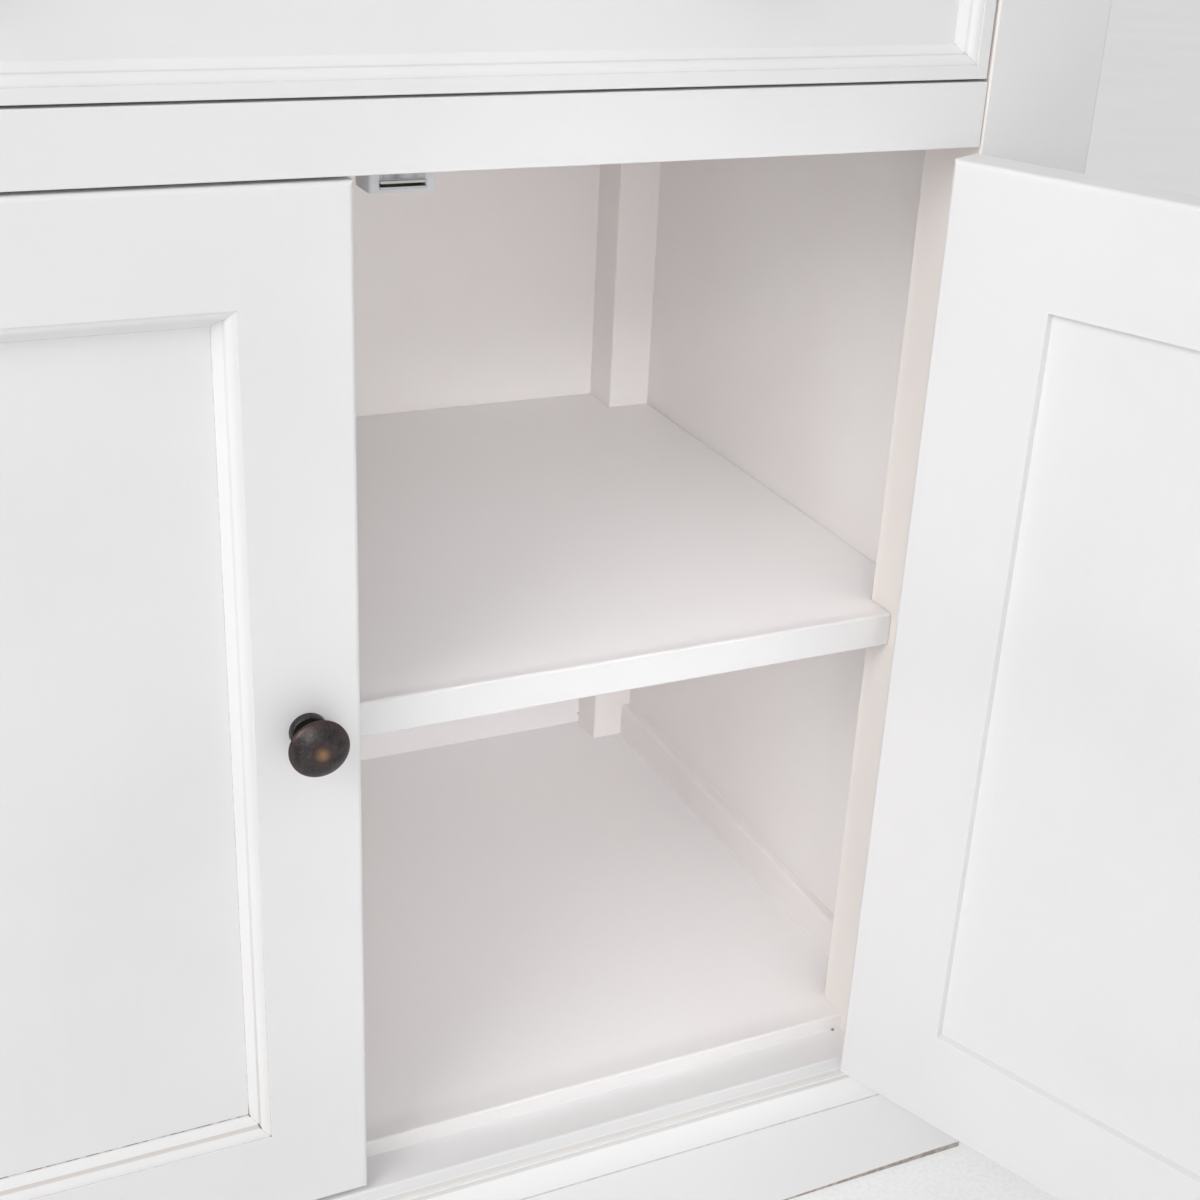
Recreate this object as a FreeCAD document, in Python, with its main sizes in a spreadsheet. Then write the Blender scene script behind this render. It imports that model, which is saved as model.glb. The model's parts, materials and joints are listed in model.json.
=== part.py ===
import FreeCAD, Part
import math
import os
import re

# A white painted display hutch: a base cabinet with a pair of panelled doors under one wide drawer, and a
# shallower display section with a pair of glazed doors standing on its worktop.
# Frame: millimetres, +Z up, +X to the right and -Y out of the doors. The origin lies on the floor, on the
# front plane of the carcass and half way across it. At rest the right base door stands open.

os.makedirs("parts", exist_ok=True)
doc = FreeCAD.newDocument("display_hutch")

# Driving sizes in millimetres and degrees. Each can be changed by itself.
SIZES = {
    # Base carcass
    "opening_width": 680,
    "post_width": 72,
    "post_depth": 50,
    "rear_post_depth": 60,
    "base_depth": 490,
    "worktop_thickness": 25,
    "worktop_overhang": 15,
    "worktop_nosing": 8,
    "plinth_projection": 12.5,
    "plinth_housing": 6,
    "ledge_height": 98.5,
    "door_stop_play": 1,
    "floor_rise": 11,
    "floor_thickness": 20,
    "cupboard_height": 591.8,
    "divider_height": 33.3,
    "divider_depth": 60,
    "top_rail_height": 28.4,
    "top_rail_depth": 22,
    "side_panel_setback": 29,
    "side_panel_thickness": 10,
    "side_rail_proud": 7.3,
    "back_rail_proud": 4.6,
    "side_rail_rise": 27.5,
    "upper_rail_height": 70,
    "back_rail_rise": 31,
    "back_panel_inset": 23.3,
    "back_panel_thickness": 8,
    "groove_depth": 6,
    "shelf_height": 309.5,
    "shelf_thickness": 21,
    "shelf_play": 0.5,
    "cleat_height": 20,
    "cleat_thickness": 12,
    "cleat_setback": 40,
    "edge_radius": 1.5,
    "arris_radius": 0.6,
    "panel_play": 0.5,
    "joint_gap": 1.3,
    "joint_depth": 10,
    "overrun": 2,
    # Base plinth moulding, from the ledge down and from the carcass out
    "nose_height": 8.5,
    "cove_drop": 2.5,
    "cove_reach": 3.5,
    "fillet_drop": 2,
    "bulge_inset": 1,
    "bulge_drop": 16,
    "bulge_share": 0.12,
    # Doors
    "door_gap": 2,
    "door_foot_gap": 3.2,
    "meeting_gap": 2,
    "door_thickness": 26,
    "door_edge_radius": 2.5,
    "stile_width": 66.3,
    "panel_rebate": 10.7,
    "panel_lip": 5,
    "panel_thickness": 8.8,
    "right_door_angle": 112,
    # Mouldings round the recesses of the doors and the drawer
    "moulding_width": 9.4,
    "moulding_band": 5.2,
    "moulding_shoulder": 0.9,
    "moulding_fall_share": 0.5,
    "moulding_quirk": 0.6,
    "moulding_foot": 1,
    # Hinges, strikes and catches
    "hinge_height": 51,
    "hinge_inset": 70,
    "hinge_barrel_radius": 3,
    "hinge_pin_radius": 1.5,
    "hinge_pin_play": 0.05,
    "hinge_leaf_width": 20,
    "hinge_leaf_thickness": 1.4,
    "hinge_leaf_recess": 0.8,
    "knuckle_gap": 0.3,
    "hinge_swing_play": 0.25,
    "catch_offset": 15.5,
    "catch_length": 33,
    "catch_depth": 22,
    "catch_height": 15,
    "catch_setback": 4,
    "catch_slot_height": 4,
    "catch_slot_lift": 2,
    "catch_slot_margin": 5,
    "catch_slot_depth": 12,
    "catch_plate_thickness": 1.2,
    "catch_play": 0.2,
    "strike_thickness": 1.2,
    "strike_height": 12,
    # Knobs, measured out from the face
    "knob_height": 314.3,
    "knob_inset": 28.4,
    "knob_radius": 15.7,
    "knob_reach": 27,
    "knob_rim_reach": 21,
    "knob_rim_thickness": 1.8,
    "knob_hollow_reach": 12.5,
    "knob_hollow_share": 0.35,
    "rose_radius": 10,
    "rose_thickness": 4.5,
    "rose_edge": 1.2,
    "neck_radius": 5.5,
    # Drawer
    "drawer_front_height": 140,
    "drawer_front_thickness": 22,
    "drawer_gap": 1.5,
    "drawer_margin": 6.8,
    "drawer_recess": 9.2,
    "drawer_side_play": 5,
    "drawer_side_thickness": 12,
    "drawer_side_drop": 18,
    "drawer_back_play": 35.5,
    "drawer_bottom_thickness": 5,
    "drawer_box_lift": 8,
    "drawer_bottom_rise": 8,
    "drawer_groove_depth": 5,
    "runner_width": 25,
    "runner_height": 18,
    "runner_play": 0.3,
    "drawer_knob_inset": 160,
    # Display section
    "display_depth": 330,
    "display_height": 1060,
    "display_post_depth": 40,
    "display_bottom_rail_height": 44,
    "display_top_rail_height": 66,
    "display_floor_rise": 7,
    "display_board_thickness": 18,
    "display_back_inset": 20,
    "display_back_thickness": 8,
    "display_side_rail_height": 60,
    "glazed_frame_width": 52,
    "glass_rebate": 8,
    "glass_thickness": 3,
    "glass_lip": 8,
    "bar_width": 18,
    "display_knob_height": 330,
    "display_top_thickness": 18,
    "display_top_overhang": 42,
    "bar_setback": 3,
    "cornice_height": 44,
    "cornice_projection": 38,
    "cornice_fillet": 6,
    "cornice_foot": 5,
    "cornice_hollow_share": 0.22,
}

# Places and sizes worked out from the driving ones.
PLACES = {
    "half_opening": "opening_width / 2",
    "half_body": "half_opening + post_width",
    "rear_post_front": "base_depth - rear_post_depth",
    "cap_height": "nose_height + cove_drop + fillet_drop + bulge_drop",
    "plinth_height": "ledge_height - cap_height",
    "ledge_depth": "door_thickness + door_stop_play",
    "floor_top": "ledge_height + floor_rise",
    "door_bottom": "ledge_height + door_foot_gap",
    "divider_bottom": "ledge_height + cupboard_height",
    "door_top": "divider_bottom - door_gap",
    "divider_top": "divider_bottom + divider_height",
    "drawer_foot": "divider_top + drawer_gap",
    "drawer_head": "drawer_foot + drawer_front_height",
    "top_rail_bottom": "drawer_head + drawer_gap",
    "worktop_underside": "top_rail_bottom + top_rail_height",
    "base_height": "worktop_underside + worktop_thickness",
    "side_panel_outer": "half_body - side_panel_setback",
    "side_panel_inner": "side_panel_outer - side_panel_thickness",
    "side_rail_inner": "side_panel_inner - side_rail_proud",
    "side_rail_top": "floor_top + side_rail_rise",
    "upper_rail_bottom": "worktop_underside - upper_rail_height",
    "back_panel_front": "base_depth - back_panel_inset",
    "back_panel_back": "back_panel_front + back_panel_thickness",
    "back_rail_front": "back_panel_front - back_rail_proud",
    "back_rail_top": "floor_top + back_rail_rise",
    "shelf_top": "ledge_height + shelf_height",
    "shelf_underside": "shelf_top - shelf_thickness",
    "catch_front": "door_thickness + catch_setback",
    # A door's own frame: the hinge axis is its origin, X runs across the door and Y through it.
    "door_width": "(opening_width - 2 * door_gap - meeting_gap) / 2",
    "hinge_axis_x": "half_opening - door_gap / 2",
    "hinge_axis_y": "0 - hinge_barrel_radius",
    "door_near": "door_gap / 2",
    "door_far": "door_near + door_width",
    "door_face": "hinge_barrel_radius",
    "door_back": "door_face + door_thickness",
    "panel_seat": "stile_width - panel_rebate",
    "panel_back": "door_back - panel_lip",
    "panel_front": "panel_back - panel_thickness",
    "panel_recess": "panel_front - door_face",
    # Drawer
    "drawer_half": "half_opening - door_gap",
    "drawer_box_half": "half_opening - drawer_side_play",
    "drawer_inner_half": "drawer_box_half - drawer_side_thickness",
    "drawer_box_foot": "drawer_foot + drawer_box_lift",
    "drawer_box_head": "drawer_head - drawer_side_drop",
    "drawer_box_back": "back_rail_front - drawer_back_play",
    "drawer_bottom_under": "drawer_box_foot + drawer_bottom_rise",
    "drawer_bottom_top": "drawer_bottom_under + drawer_bottom_thickness",
    "runner_top": "drawer_box_foot - runner_play",
    # Display section
    "display_front": "base_depth - display_depth",
    "display_head": "base_height + display_height",
    "display_rear_post_front": "base_depth - display_post_depth",
    "display_floor_top": "base_height + display_bottom_rail_height + display_floor_rise",
    "display_rail_foot": "display_head - display_top_rail_height",
    "display_door_bottom": "base_height + display_bottom_rail_height + door_gap",
    "display_door_top": "display_rail_foot - door_gap",
    "display_door_height": "display_door_top - display_door_bottom",
    "display_back_front": "base_depth - display_back_inset",
    "display_back_back": "display_back_front + display_back_thickness",
    "glass_seat": "glazed_frame_width - glass_rebate",
    "glass_back": "door_back - glass_lip",
    "glass_front": "glass_back - glass_thickness",
    "pane_field_height": "display_door_height - 2 * glazed_frame_width",
    "lower_bar": "display_door_bottom + glazed_frame_width + pane_field_height / 3",
    "upper_bar": "display_door_bottom + glazed_frame_width + pane_field_height * 2 / 3",
    "display_hinge_y": "display_front - hinge_barrel_radius",
    "display_top_level": "display_head + display_top_thickness",
    "display_catch_front": "display_front + door_thickness + catch_setback",
}

NEAR = 1e-4
X, Y, Z = FreeCAD.Vector(1, 0, 0), FreeCAD.Vector(0, 1, 0), FreeCAD.Vector(0, 0, 1)
ORIGIN = FreeCAD.Vector(0, 0, 0)
LEFT, RIGHT = -1, 1
nodes = []


def fill_sheet(name, cells):
    """A sheet with one named cell a row."""
    sheet = doc.addObject("Spreadsheet::Sheet", name)
    for row, (alias, content) in enumerate(cells.items(), 1):
        sheet.set(f"A{row}", alias)
        sheet.set(f"B{row}", content)
        sheet.setAlias(f"B{row}", alias)
    return sheet


def linked(formula, own_sheet=""):
    """The formula with each named size pointing at its sheet, unless it lies on the sheet itself."""
    def place(match):
        word = match.group(0)
        home = "sizes" if word in SIZES else "places" if word in PLACES else own_sheet
        return word if home == own_sheet else f"{home}.{word}"
    return re.sub(r"[a-z][a-z_]+", place, formula)


sizes = fill_sheet("sizes", {alias: str(number) for alias, number in SIZES.items()})
places = fill_sheet("places", {alias: f"={linked(formula, 'places')}" for alias, formula in PLACES.items()})
doc.recompute()


def value(alias):
    """A named size or place, as a number."""
    return float((sizes if alias in SIZES else places).get(alias))


def bind(piece, **formulas):
    """Ties properties of a piece to the sheets."""
    for name, formula in formulas.items():
        piece.setExpression(name.replace("__", "."), linked(formula))


def fit_box(box, x, y, z):
    """Spans a box between a pair of planes on each axis."""
    bind(box, Length=f"({x[1]}) - ({x[0]})", Width=f"({y[1]}) - ({y[0]})", Height=f"({z[1]}) - ({z[0]})")
    bind(box, Placement__Base__x=x[0], Placement__Base__y=y[0], Placement__Base__z=z[0])


def mirror(hand, x):
    """The same pair of planes on the side of the middle that the hand names."""
    return x if hand == RIGHT else (f"-({x[1]})", f"-({x[0]})")


def across(half):
    """A pair of planes either side of the middle."""
    return f"-({half})", half


def board(name, x, y, z):
    """A squared board."""
    body = doc.addObject("PartDesign::Body", name)
    fit_box(body.newObject("PartDesign::AdditiveBox", f"{name}_stock"), x, y, z)
    return body


def cut_out(body, x, y, z):
    """A housing, rebate or groove cut in a board."""
    cutter = body.newObject("PartDesign::SubtractiveBox", f"{body.Name}_cut{len(body.Group)}")
    fit_box(cutter, x, y, z)


def lies(axis, **levels):
    """A test for a straight edge along an axis, at any of the places named, on either side of the middle.
    Zero stands for the front plane."""
    def test(edge):
        ends = [vertex.Point for vertex in edge.Vertexes]
        if len(ends) < 2 or (ends[1] - ends[0]).cross(axis).Length > NEAR:
            return False
        middle = edge.CenterOfMass
        return all(
            min(abs(abs(getattr(middle, way)) - abs(value(name) if name else 0)) for name in names) < NEAR
            for way, names in levels.items()
        )
    return test


def ease(body, radius, *tests):
    """Rounds the edges that any of the tests picks."""
    doc.recompute()
    tip = body.Tip
    edges = enumerate(tip.Shape.Edges, 1)
    fillet = body.newObject("PartDesign::Fillet", f"{body.Name}_ease{len(body.Group)}")
    fillet.Base = (tip, [f"Edge{number}" for number, edge in edges if any(test(edge) for test in tests)])
    bind(fillet, Radius=radius)


def node(name, *solids, x="0", y="0", angle="0"):
    """One named sub-part of one or more solids, set in its place."""
    if len(solids) == 1:
        piece = solids[0]
    else:
        piece = doc.addObject("Part::Compound", f"{name}_set")
        piece.Links = list(solids)
    piece.Label = name
    piece.Placement = FreeCAD.Placement(ORIGIN, FreeCAD.Rotation(Z, 1))
    bind(piece, Placement__Base__x=x, Placement__Base__y=y, Placement__Rotation__Angle=angle)
    nodes.append(piece)


def fused(name, *shapes):
    """Shapes joined into one."""
    whole = doc.addObject("Part::MultiFuse", name)
    whole.Shapes = list(shapes)
    return whole


def pared(name, base, *tools):
    """A shape with others cut away."""
    for count, tool in enumerate(tools, 1):
        cut = doc.addObject("Part::Cut", f"{name}_{count}")
        cut.Base = base
        cut.Tool = tool
        base = cut
    return base


def block(name, x, y, z):
    """A plain box, to be fused or cut."""
    box = doc.addObject("Part::Box", name)
    fit_box(box, x, y, z)
    return box


def rod(name, radius, foot, head):
    """A round upright on the Z axis."""
    cylinder = doc.addObject("Part::Cylinder", name)
    bind(cylinder, Radius=radius, Height=f"({head}) - ({foot})", Placement__Base__z=foot)
    return cylinder


def outline(*points):
    """A closed outline in the YZ plane. Each point is a reach towards -Y and a height; a pair of points in a
    bracket is the middle and the end of an arc."""
    def spot(point):
        return FreeCAD.Vector(0, -point[0], point[1])
    edges = []
    here = spot(points[0])
    for point in points[1:] + points[:1]:
        if isinstance(point[0], tuple):
            edges.append(Part.Arc(here, spot(point[0]), spot(point[1])).toShape())
            here = spot(point[1])
        else:
            edges.append(Part.LineSegment(here, spot(point)).toShape())
            here = spot(point)
    return Part.Wire(edges)


def strip(section, length, near_lean, far_lean):
    """A straight strip along +X from zero. Each end leans out, at 1, or in, at -1, as the reach grows, to
    mitre it, and 0 leaves it square."""
    box = section.BoundBox
    spare = box.YLength + value("overrun")
    bar = Part.Face(section)
    bar.translate(X * -spare)
    bar = bar.extrude(X * (length + 2 * spare))
    inner, outer = box.YMax + value("overrun"), box.YMin - value("overrun")
    for end, way, lean in ((0, -1, near_lean), (length, 1, far_lean)):
        corners = [(end - way * lean * inner, inner), (end - way * lean * outer, outer)]
        corners += [(end + way * 3 * spare, outer), (end + way * 3 * spare, inner)]
        corners = [FreeCAD.Vector(*corner, box.ZMin - value("overrun")) for corner in corners]
        waste = Part.Face(Part.makePolygon(corners + corners[:1]))
        bar = bar.cut(waste.extrude(Z * (box.ZLength + 2 * value("overrun"))))
    return bar


def picture_frame(section, low, high, level):
    """Four strips mitred round the inside of an upright rectangle, whose low and high corners are X and Z.
    The section's reach points inwards and its height out of the face, which stands at the level on Y."""
    onto_face = FreeCAD.Rotation(Y - Z, 180)
    corners = [(high[0], low[1]), (low[0], low[1]), (low[0], high[1]), (high[0], high[1])]
    strips = []
    for turn, (x, z) in enumerate(corners):
        length = high[0] - low[0] if turn % 2 == 0 else high[1] - low[1]
        bar = strip(section, length, -1, -1)
        bar.Placement = FreeCAD.Placement(
            FreeCAD.Vector(x, level, z), FreeCAD.Rotation(Y, 90 * turn) * onto_face
        )
        strips.append(bar)
    return Part.makeCompound(strips)


def skirting(section, front, depth, level):
    """Three strips round the front and sides of the carcass, mitred at its two front corners."""
    half = value("half_body")
    ahead = strip(section, 2 * half, 1, 1)
    ahead.Placement = FreeCAD.Placement(FreeCAD.Vector(-half, front, level), FreeCAD.Rotation())
    right = strip(section, depth, 1, 0)
    right.Placement = FreeCAD.Placement(FreeCAD.Vector(half, front, level), FreeCAD.Rotation(Z, 90))
    left = strip(section, depth, 0, 1)
    left.Placement = FreeCAD.Placement(
        FreeCAD.Vector(-half, front + depth, level), FreeCAD.Rotation(Z, -90)
    )
    return Part.makeCompound([ahead, left, right])


def shaped(name, shape):
    """A piece whose shape is drawn from the sheets' numbers."""
    piece = doc.addObject("Part::Feature", name)
    piece.Shape = shape
    return piece


# Corner posts, with housings for the plinth, the panels and the hinges

def corner_post(name, hand, y, z):
    post = board(name, mirror(hand, ("half_opening", "half_body")), y, z)
    ease(post, "edge_radius", lies(Z))
    return post


def hinge_feet(foot, head):
    """Where a door's two hinges start, from the door's foot and head."""
    return f"{foot} + hinge_inset", f"{head} - hinge_inset - hinge_height"


def hinge_gains(body, x, y, foot, head):
    """The shallow housings of a door's two hinge leaves."""
    for start in hinge_feet(foot, head):
        cut_out(body, x, y, (start, f"{start} + hinge_height"))


def side_groove(post, hand, y, z):
    cut_out(post, mirror(hand, ("side_panel_inner", "side_panel_outer")), y, z)


base_panel = ("side_rail_top - groove_depth", "upper_rail_bottom + groove_depth")
for hand, side in ((LEFT, "left"), (RIGHT, "right")):
    outer_housing = mirror(hand, ("half_body - plinth_housing", "half_body + overrun"))
    plinth_housing = ("-overrun", "plinth_height")

    post = corner_post(f"front_post_{side}", hand, ("0", "post_depth"), ("0", "worktop_underside"))
    cut_out(post, mirror(hand, ("half_opening - overrun", "half_body")), ("-overrun", "plinth_housing"),
            plinth_housing)
    cut_out(post, outer_housing, ("-overrun", "post_depth + overrun"), plinth_housing)
    side_groove(post, hand, ("post_depth - groove_depth", "post_depth + overrun"), base_panel)
    gain = mirror(hand, ("half_opening - overrun", "half_opening + hinge_leaf_recess"))
    hinge_gains(post, gain, ("-overrun", "hinge_leaf_width"), "door_bottom", "door_top")
    node(f"front_post_{side}", post)

    post = corner_post(f"rear_post_{side}", hand, ("rear_post_front", "base_depth"),
                       ("0", "worktop_underside"))
    cut_out(post, outer_housing, ("rear_post_front - overrun", "base_depth + overrun"), plinth_housing)
    side_groove(post, hand, ("rear_post_front - overrun", "rear_post_front + groove_depth"), base_panel)
    back_groove = mirror(hand, ("half_opening - overrun", "half_opening + groove_depth"))
    cut_out(post, back_groove, ("back_panel_front", "back_panel_back"),
            ("back_rail_top - groove_depth", "upper_rail_bottom + groove_depth"))
    node(f"rear_post_{side}", post)

# Framed sides and back of the base: rails between the posts, grooved for panels

side_rails = []
for hand, side in ((LEFT, "left"), (RIGHT, "right")):
    width = mirror(hand, ("side_rail_inner", "half_body"))
    groove = mirror(hand, ("side_panel_inner", "side_panel_outer"))
    run = ("post_depth", "rear_post_front")
    cut_run = ("post_depth - overrun", "rear_post_front + overrun")
    rail = board(f"lower_side_rail_{side}", width, run, ("plinth_height", "side_rail_top"))
    ease(rail, "edge_radius", lies(Y, x=["side_rail_inner"], z=["side_rail_top"]))
    cut_out(rail, groove, cut_run, ("side_rail_top - groove_depth", "side_rail_top + overrun"))
    side_rails.append(rail)
    rail = board(f"upper_side_rail_{side}", width, run, ("upper_rail_bottom", "worktop_underside"))
    cut_out(rail, groove, cut_run, ("upper_rail_bottom - overrun", "upper_rail_bottom + groove_depth"))
    side_rails.append(rail)
    panel = board(
        f"side_panel_{side}", groove,
        ("post_depth - groove_depth + panel_play", "rear_post_front + groove_depth - panel_play"),
        ("side_rail_top - groove_depth + panel_play", "upper_rail_bottom + groove_depth - panel_play"),
    )
    node(f"side_panel_{side}", panel)
node("side_rails", *side_rails)

back_rails = []
for name, foot, head, cut in (
    ("lower", "plinth_height", "back_rail_top", ("back_rail_top - groove_depth", "back_rail_top + overrun")),
    ("upper", "upper_rail_bottom", "worktop_underside",
     ("upper_rail_bottom - overrun", "upper_rail_bottom + groove_depth")),
):
    rail = board(f"{name}_back_rail", across("half_opening"), ("back_rail_front", "base_depth"),
                 (foot, head))
    if name == "lower":
        ease(rail, "edge_radius", lies(X, y=["back_rail_front"], z=["back_rail_top"]))
    cut_out(rail, across("half_opening + overrun"), ("back_panel_front", "back_panel_back"), cut)
    back_rails.append(rail)
node("back_rails", *back_rails)
node("back_panel", board(
    "back_panel", across("half_opening + groove_depth - panel_play"),
    ("back_panel_front", "back_panel_back"),
    ("back_rail_top - groove_depth + panel_play", "upper_rail_bottom + groove_depth - panel_play"),
))

# Front rails. The bottom one is the ledge that the doors close over

rail = board("bottom_rail", across("half_opening"), ("0", "ledge_depth"), ("plinth_height", "ledge_height"))
ease(rail, "edge_radius", lies(X, y=[0], z=["ledge_height"]))
node("bottom_rail", rail)
rail = board("divider_rail", across("half_opening"), ("0", "divider_depth"),
             ("divider_bottom", "divider_top"))
for hand in (LEFT, RIGHT):
    cut_out(rail, mirror(hand, ("half_opening - joint_gap", "half_opening + overrun")),
            ("-overrun", "joint_depth"), ("divider_bottom - overrun", "divider_top + overrun"))
ease(rail, "arris_radius", lies(X, y=[0], z=["divider_bottom", "divider_top"]))
node("divider_rail", rail)
rail_z = ("top_rail_bottom", "worktop_underside")
node("top_rail", board("top_rail", across("half_opening"), ("0", "top_rail_depth"), rail_z))

# Floor, shelves and worktop

def notched_board(name, half, y, z, posts, play):
    """A board let in round the four corner posts. The posts give the front pair's back and the rear pair's
    front."""
    shelf = board(name, across(half), y, z)
    doc.recompute()
    front = FreeCAD.Vector(0, shelf.Shape.BoundBox.YMin, 0).y
    ease(shelf, "edge_radius", lambda edge: lies(X)(edge) and abs(edge.CenterOfMass.y - front) < NEAR)
    through = (f"{z[0]} - overrun", f"{z[1]} + overrun")
    for hand in (LEFT, RIGHT):
        corner = mirror(hand, (f"half_opening - {play}", f"{half} + overrun"))
        cut_out(shelf, corner, (f"{y[0]} - overrun", f"{posts[0]} + {play}"), through)
        cut_out(shelf, corner, (f"{posts[1]} - {play}", f"{y[1]} + overrun"), through)
    return shelf


base_posts = ("post_depth", "rear_post_front")
node("floor_board", notched_board(
    "floor_board", "side_rail_inner", ("ledge_depth", "back_rail_front"),
    ("floor_top - floor_thickness", "floor_top"), base_posts, "0",
))
node("cupboard_shelf", notched_board(
    "cupboard_shelf", "side_panel_inner - shelf_play", ("ledge_depth", "back_panel_front - shelf_play"),
    ("shelf_underside", "shelf_top"), base_posts, "shelf_play",
))
top = board("worktop", across("half_body + worktop_overhang"), ("-worktop_overhang", "base_depth"),
            ("worktop_underside", "base_height"))
ease(top, "worktop_nosing", lies(X, y=["worktop_overhang"], z=["base_height"]), lies(Y, z=["base_height"]))
node("worktop", top)

# Plinth boards, let into the posts, and the moulding that caps them

plinth_section = outline(
    (-value("plinth_housing"), 0),
    (value("plinth_projection"), 0),
    (value("plinth_projection"), value("plinth_height")),
    (-value("plinth_housing"), value("plinth_height")),
)
node("plinth_boards", shaped("plinth", skirting(plinth_section, 0, value("base_depth"), 0)))

CORNER_SHARE = 1 - math.sqrt(0.5)


def cap_section():
    """From the top: a cove, a fillet and a full round bulge down to the plinth."""
    cove_top = -value("nose_height")
    cove_foot = cove_top - value("cove_drop")
    cove_middle = (value("cove_reach") * CORNER_SHARE, cove_foot + value("cove_drop") * CORNER_SHARE)
    step = (value("cove_reach") + value("bulge_inset"), cove_foot - value("fillet_drop"))
    foot = (value("plinth_projection"), -value("cap_height"))
    run, fall = foot[0] - step[0], step[1] - foot[1]
    share = value("bulge_share")
    bulge = ((step[0] + foot[0]) / 2 + fall * share, (step[1] + foot[1]) / 2 + run * share)
    return outline(
        (0, cove_top), (cove_middle, (value("cove_reach"), cove_foot)), (value("cove_reach"), step[1]), step,
        (bulge, foot), (0, foot[1]),
    )


node("plinth_moulding", shaped("cap", skirting(
    cap_section(), 0, value("base_depth"), value("ledge_height"),
)))

# Drawer and its runners

runner_z = ("runner_top - runner_height", "runner_top")
node("drawer_runners", *(
    board(f"runner_{hand + 1}", mirror(hand, ("half_opening - runner_width", "half_opening")),
          ("divider_depth", "back_rail_front"), runner_z)
    for hand in (LEFT, RIGHT)
))

front = board("drawer_front", across("drawer_half"), ("0", "drawer_front_thickness"),
              ("drawer_foot", "drawer_head"))
ease(front, "arris_radius", lies(X, y=[0]), lies(Z, y=[0]))
recess_z = ("drawer_foot + drawer_margin", "drawer_head - drawer_margin")
cut_out(front, across("drawer_half - drawer_margin"), ("-overrun", "drawer_recess"), recess_z)
cut_out(front, across("drawer_inner_half + drawer_groove_depth"),
        ("drawer_front_thickness - drawer_groove_depth", "drawer_front_thickness + overrun"),
        ("drawer_bottom_under", "drawer_bottom_top"))
node("drawer_front", front)


def moulding_section(depth):
    """A shoulder, a round that falls inwards, a quirk and a slope to a small foot on the recess's floor."""
    band, shoulder, width = value("moulding_band"), value("moulding_shoulder"), value("moulding_width")
    fall = depth * value("moulding_fall_share")
    middle = (band * (1 - CORNER_SHARE), -shoulder - (fall - shoulder) * CORNER_SHARE)
    return outline(
        (0, -depth), (0, -shoulder), (middle, (band, -fall)), (band, -fall - value("moulding_quirk")),
        (width, value("moulding_foot") - depth), (width, -depth),
    )


recess_half = value("drawer_half") - value("drawer_margin")
node("drawer_moulding", shaped("drawer_ring", picture_frame(
    moulding_section(value("drawer_recess")), (-recess_half, value("drawer_foot") + value("drawer_margin")),
    (recess_half, value("drawer_head") - value("drawer_margin")), 0,
)))

side_z = ("drawer_box_foot", "drawer_box_head")
drawer_sides = []
for hand in (LEFT, RIGHT):
    wall = board(f"drawer_side_{hand + 1}", mirror(hand, ("drawer_inner_half", "drawer_box_half")),
                 ("drawer_front_thickness", "drawer_box_back"), side_z)
    cut_out(wall, mirror(hand, ("drawer_inner_half - overrun", "drawer_inner_half + drawer_groove_depth")),
            ("drawer_front_thickness - overrun", "drawer_box_back + overrun"),
            ("drawer_bottom_under", "drawer_bottom_top"))
    drawer_sides.append(wall)
node("drawer_sides", *drawer_sides)
node("drawer_back", board(
    "drawer_back", across("drawer_inner_half"),
    ("drawer_box_back - drawer_side_thickness", "drawer_box_back"), ("drawer_bottom_top", "drawer_box_head"),
))
node("drawer_bottom", board(
    "drawer_bottom", across("drawer_inner_half + drawer_groove_depth - panel_play"),
    ("drawer_front_thickness - drawer_groove_depth + panel_play", "drawer_box_back"),
    ("drawer_bottom_under", "drawer_bottom_top"),
))

# Knobs: a flat rose, a neck and a domed head with a thin rim, turned in one piece


def knob_profile():
    """Half of the turned outline. Each point is a reach out of the face and a radius."""
    rose, edge = value("rose_radius"), value("rose_edge")
    rose_face = value("rose_thickness")
    rose_middle = (rose_face - edge * CORNER_SHARE, rose - edge * CORNER_SHARE)
    neck, radius = value("neck_radius"), value("knob_radius")
    rim_face, reach = value("knob_rim_reach"), value("knob_reach")
    rim_back = rim_face - value("knob_rim_thickness")
    hollow = value("knob_hollow_reach")
    hollow_middle = (
        (hollow + rim_back) / 2 + (rim_back - hollow) * value("knob_hollow_share") / 2,
        (neck + radius) / 2 - (radius - neck) * value("knob_hollow_share") / 2,
    )
    rise = reach - rim_face
    dome = (radius * radius + rise * rise) / (2 * rise)
    half_turn = math.asin(radius / dome) / 2
    dome_middle = (reach - dome * (1 - math.cos(half_turn)), dome * math.sin(half_turn))
    return outline(
        (0, 0), (0, rose), (rose_face - edge, rose), (rose_middle, (rose_face, rose - edge)),
        (rose_face, neck), (hollow, neck), (hollow_middle, (rim_back, radius)), (rim_face, radius),
        (dome_middle, (reach, 0)),
    )


def knob(name, x, face, z):
    """A knob that stands out of a face towards -Y."""
    turned = shaped(f"{name}_turned", Part.Face(knob_profile()).revolve(ORIGIN, Y, 360))
    bind(turned, Placement__Base__x=x, Placement__Base__y=face, Placement__Base__z=z)
    stood = doc.addObject("Part::Compound", name)
    stood.Links = [turned]
    return stood


node("drawer_knobs", *(
    knob(f"drawer_knob_{hand + 1}", f"{hand} * (half_opening - drawer_knob_inset)", "drawer_recess",
         "(drawer_foot + drawer_head) / 2")
    for hand in (LEFT, RIGHT)
))

# Butt hinges. Each is drawn on its pin's axis, for a door that runs to +X or, mirrored, to -X


def hinge_place(body, hand, y, foot):
    """Stands a hinge's piece on its axis."""
    bind(body, Placement__Base__x=f"{hand} * hinge_axis_x", Placement__Base__y=y, Placement__Base__z=foot)
    return body


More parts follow.
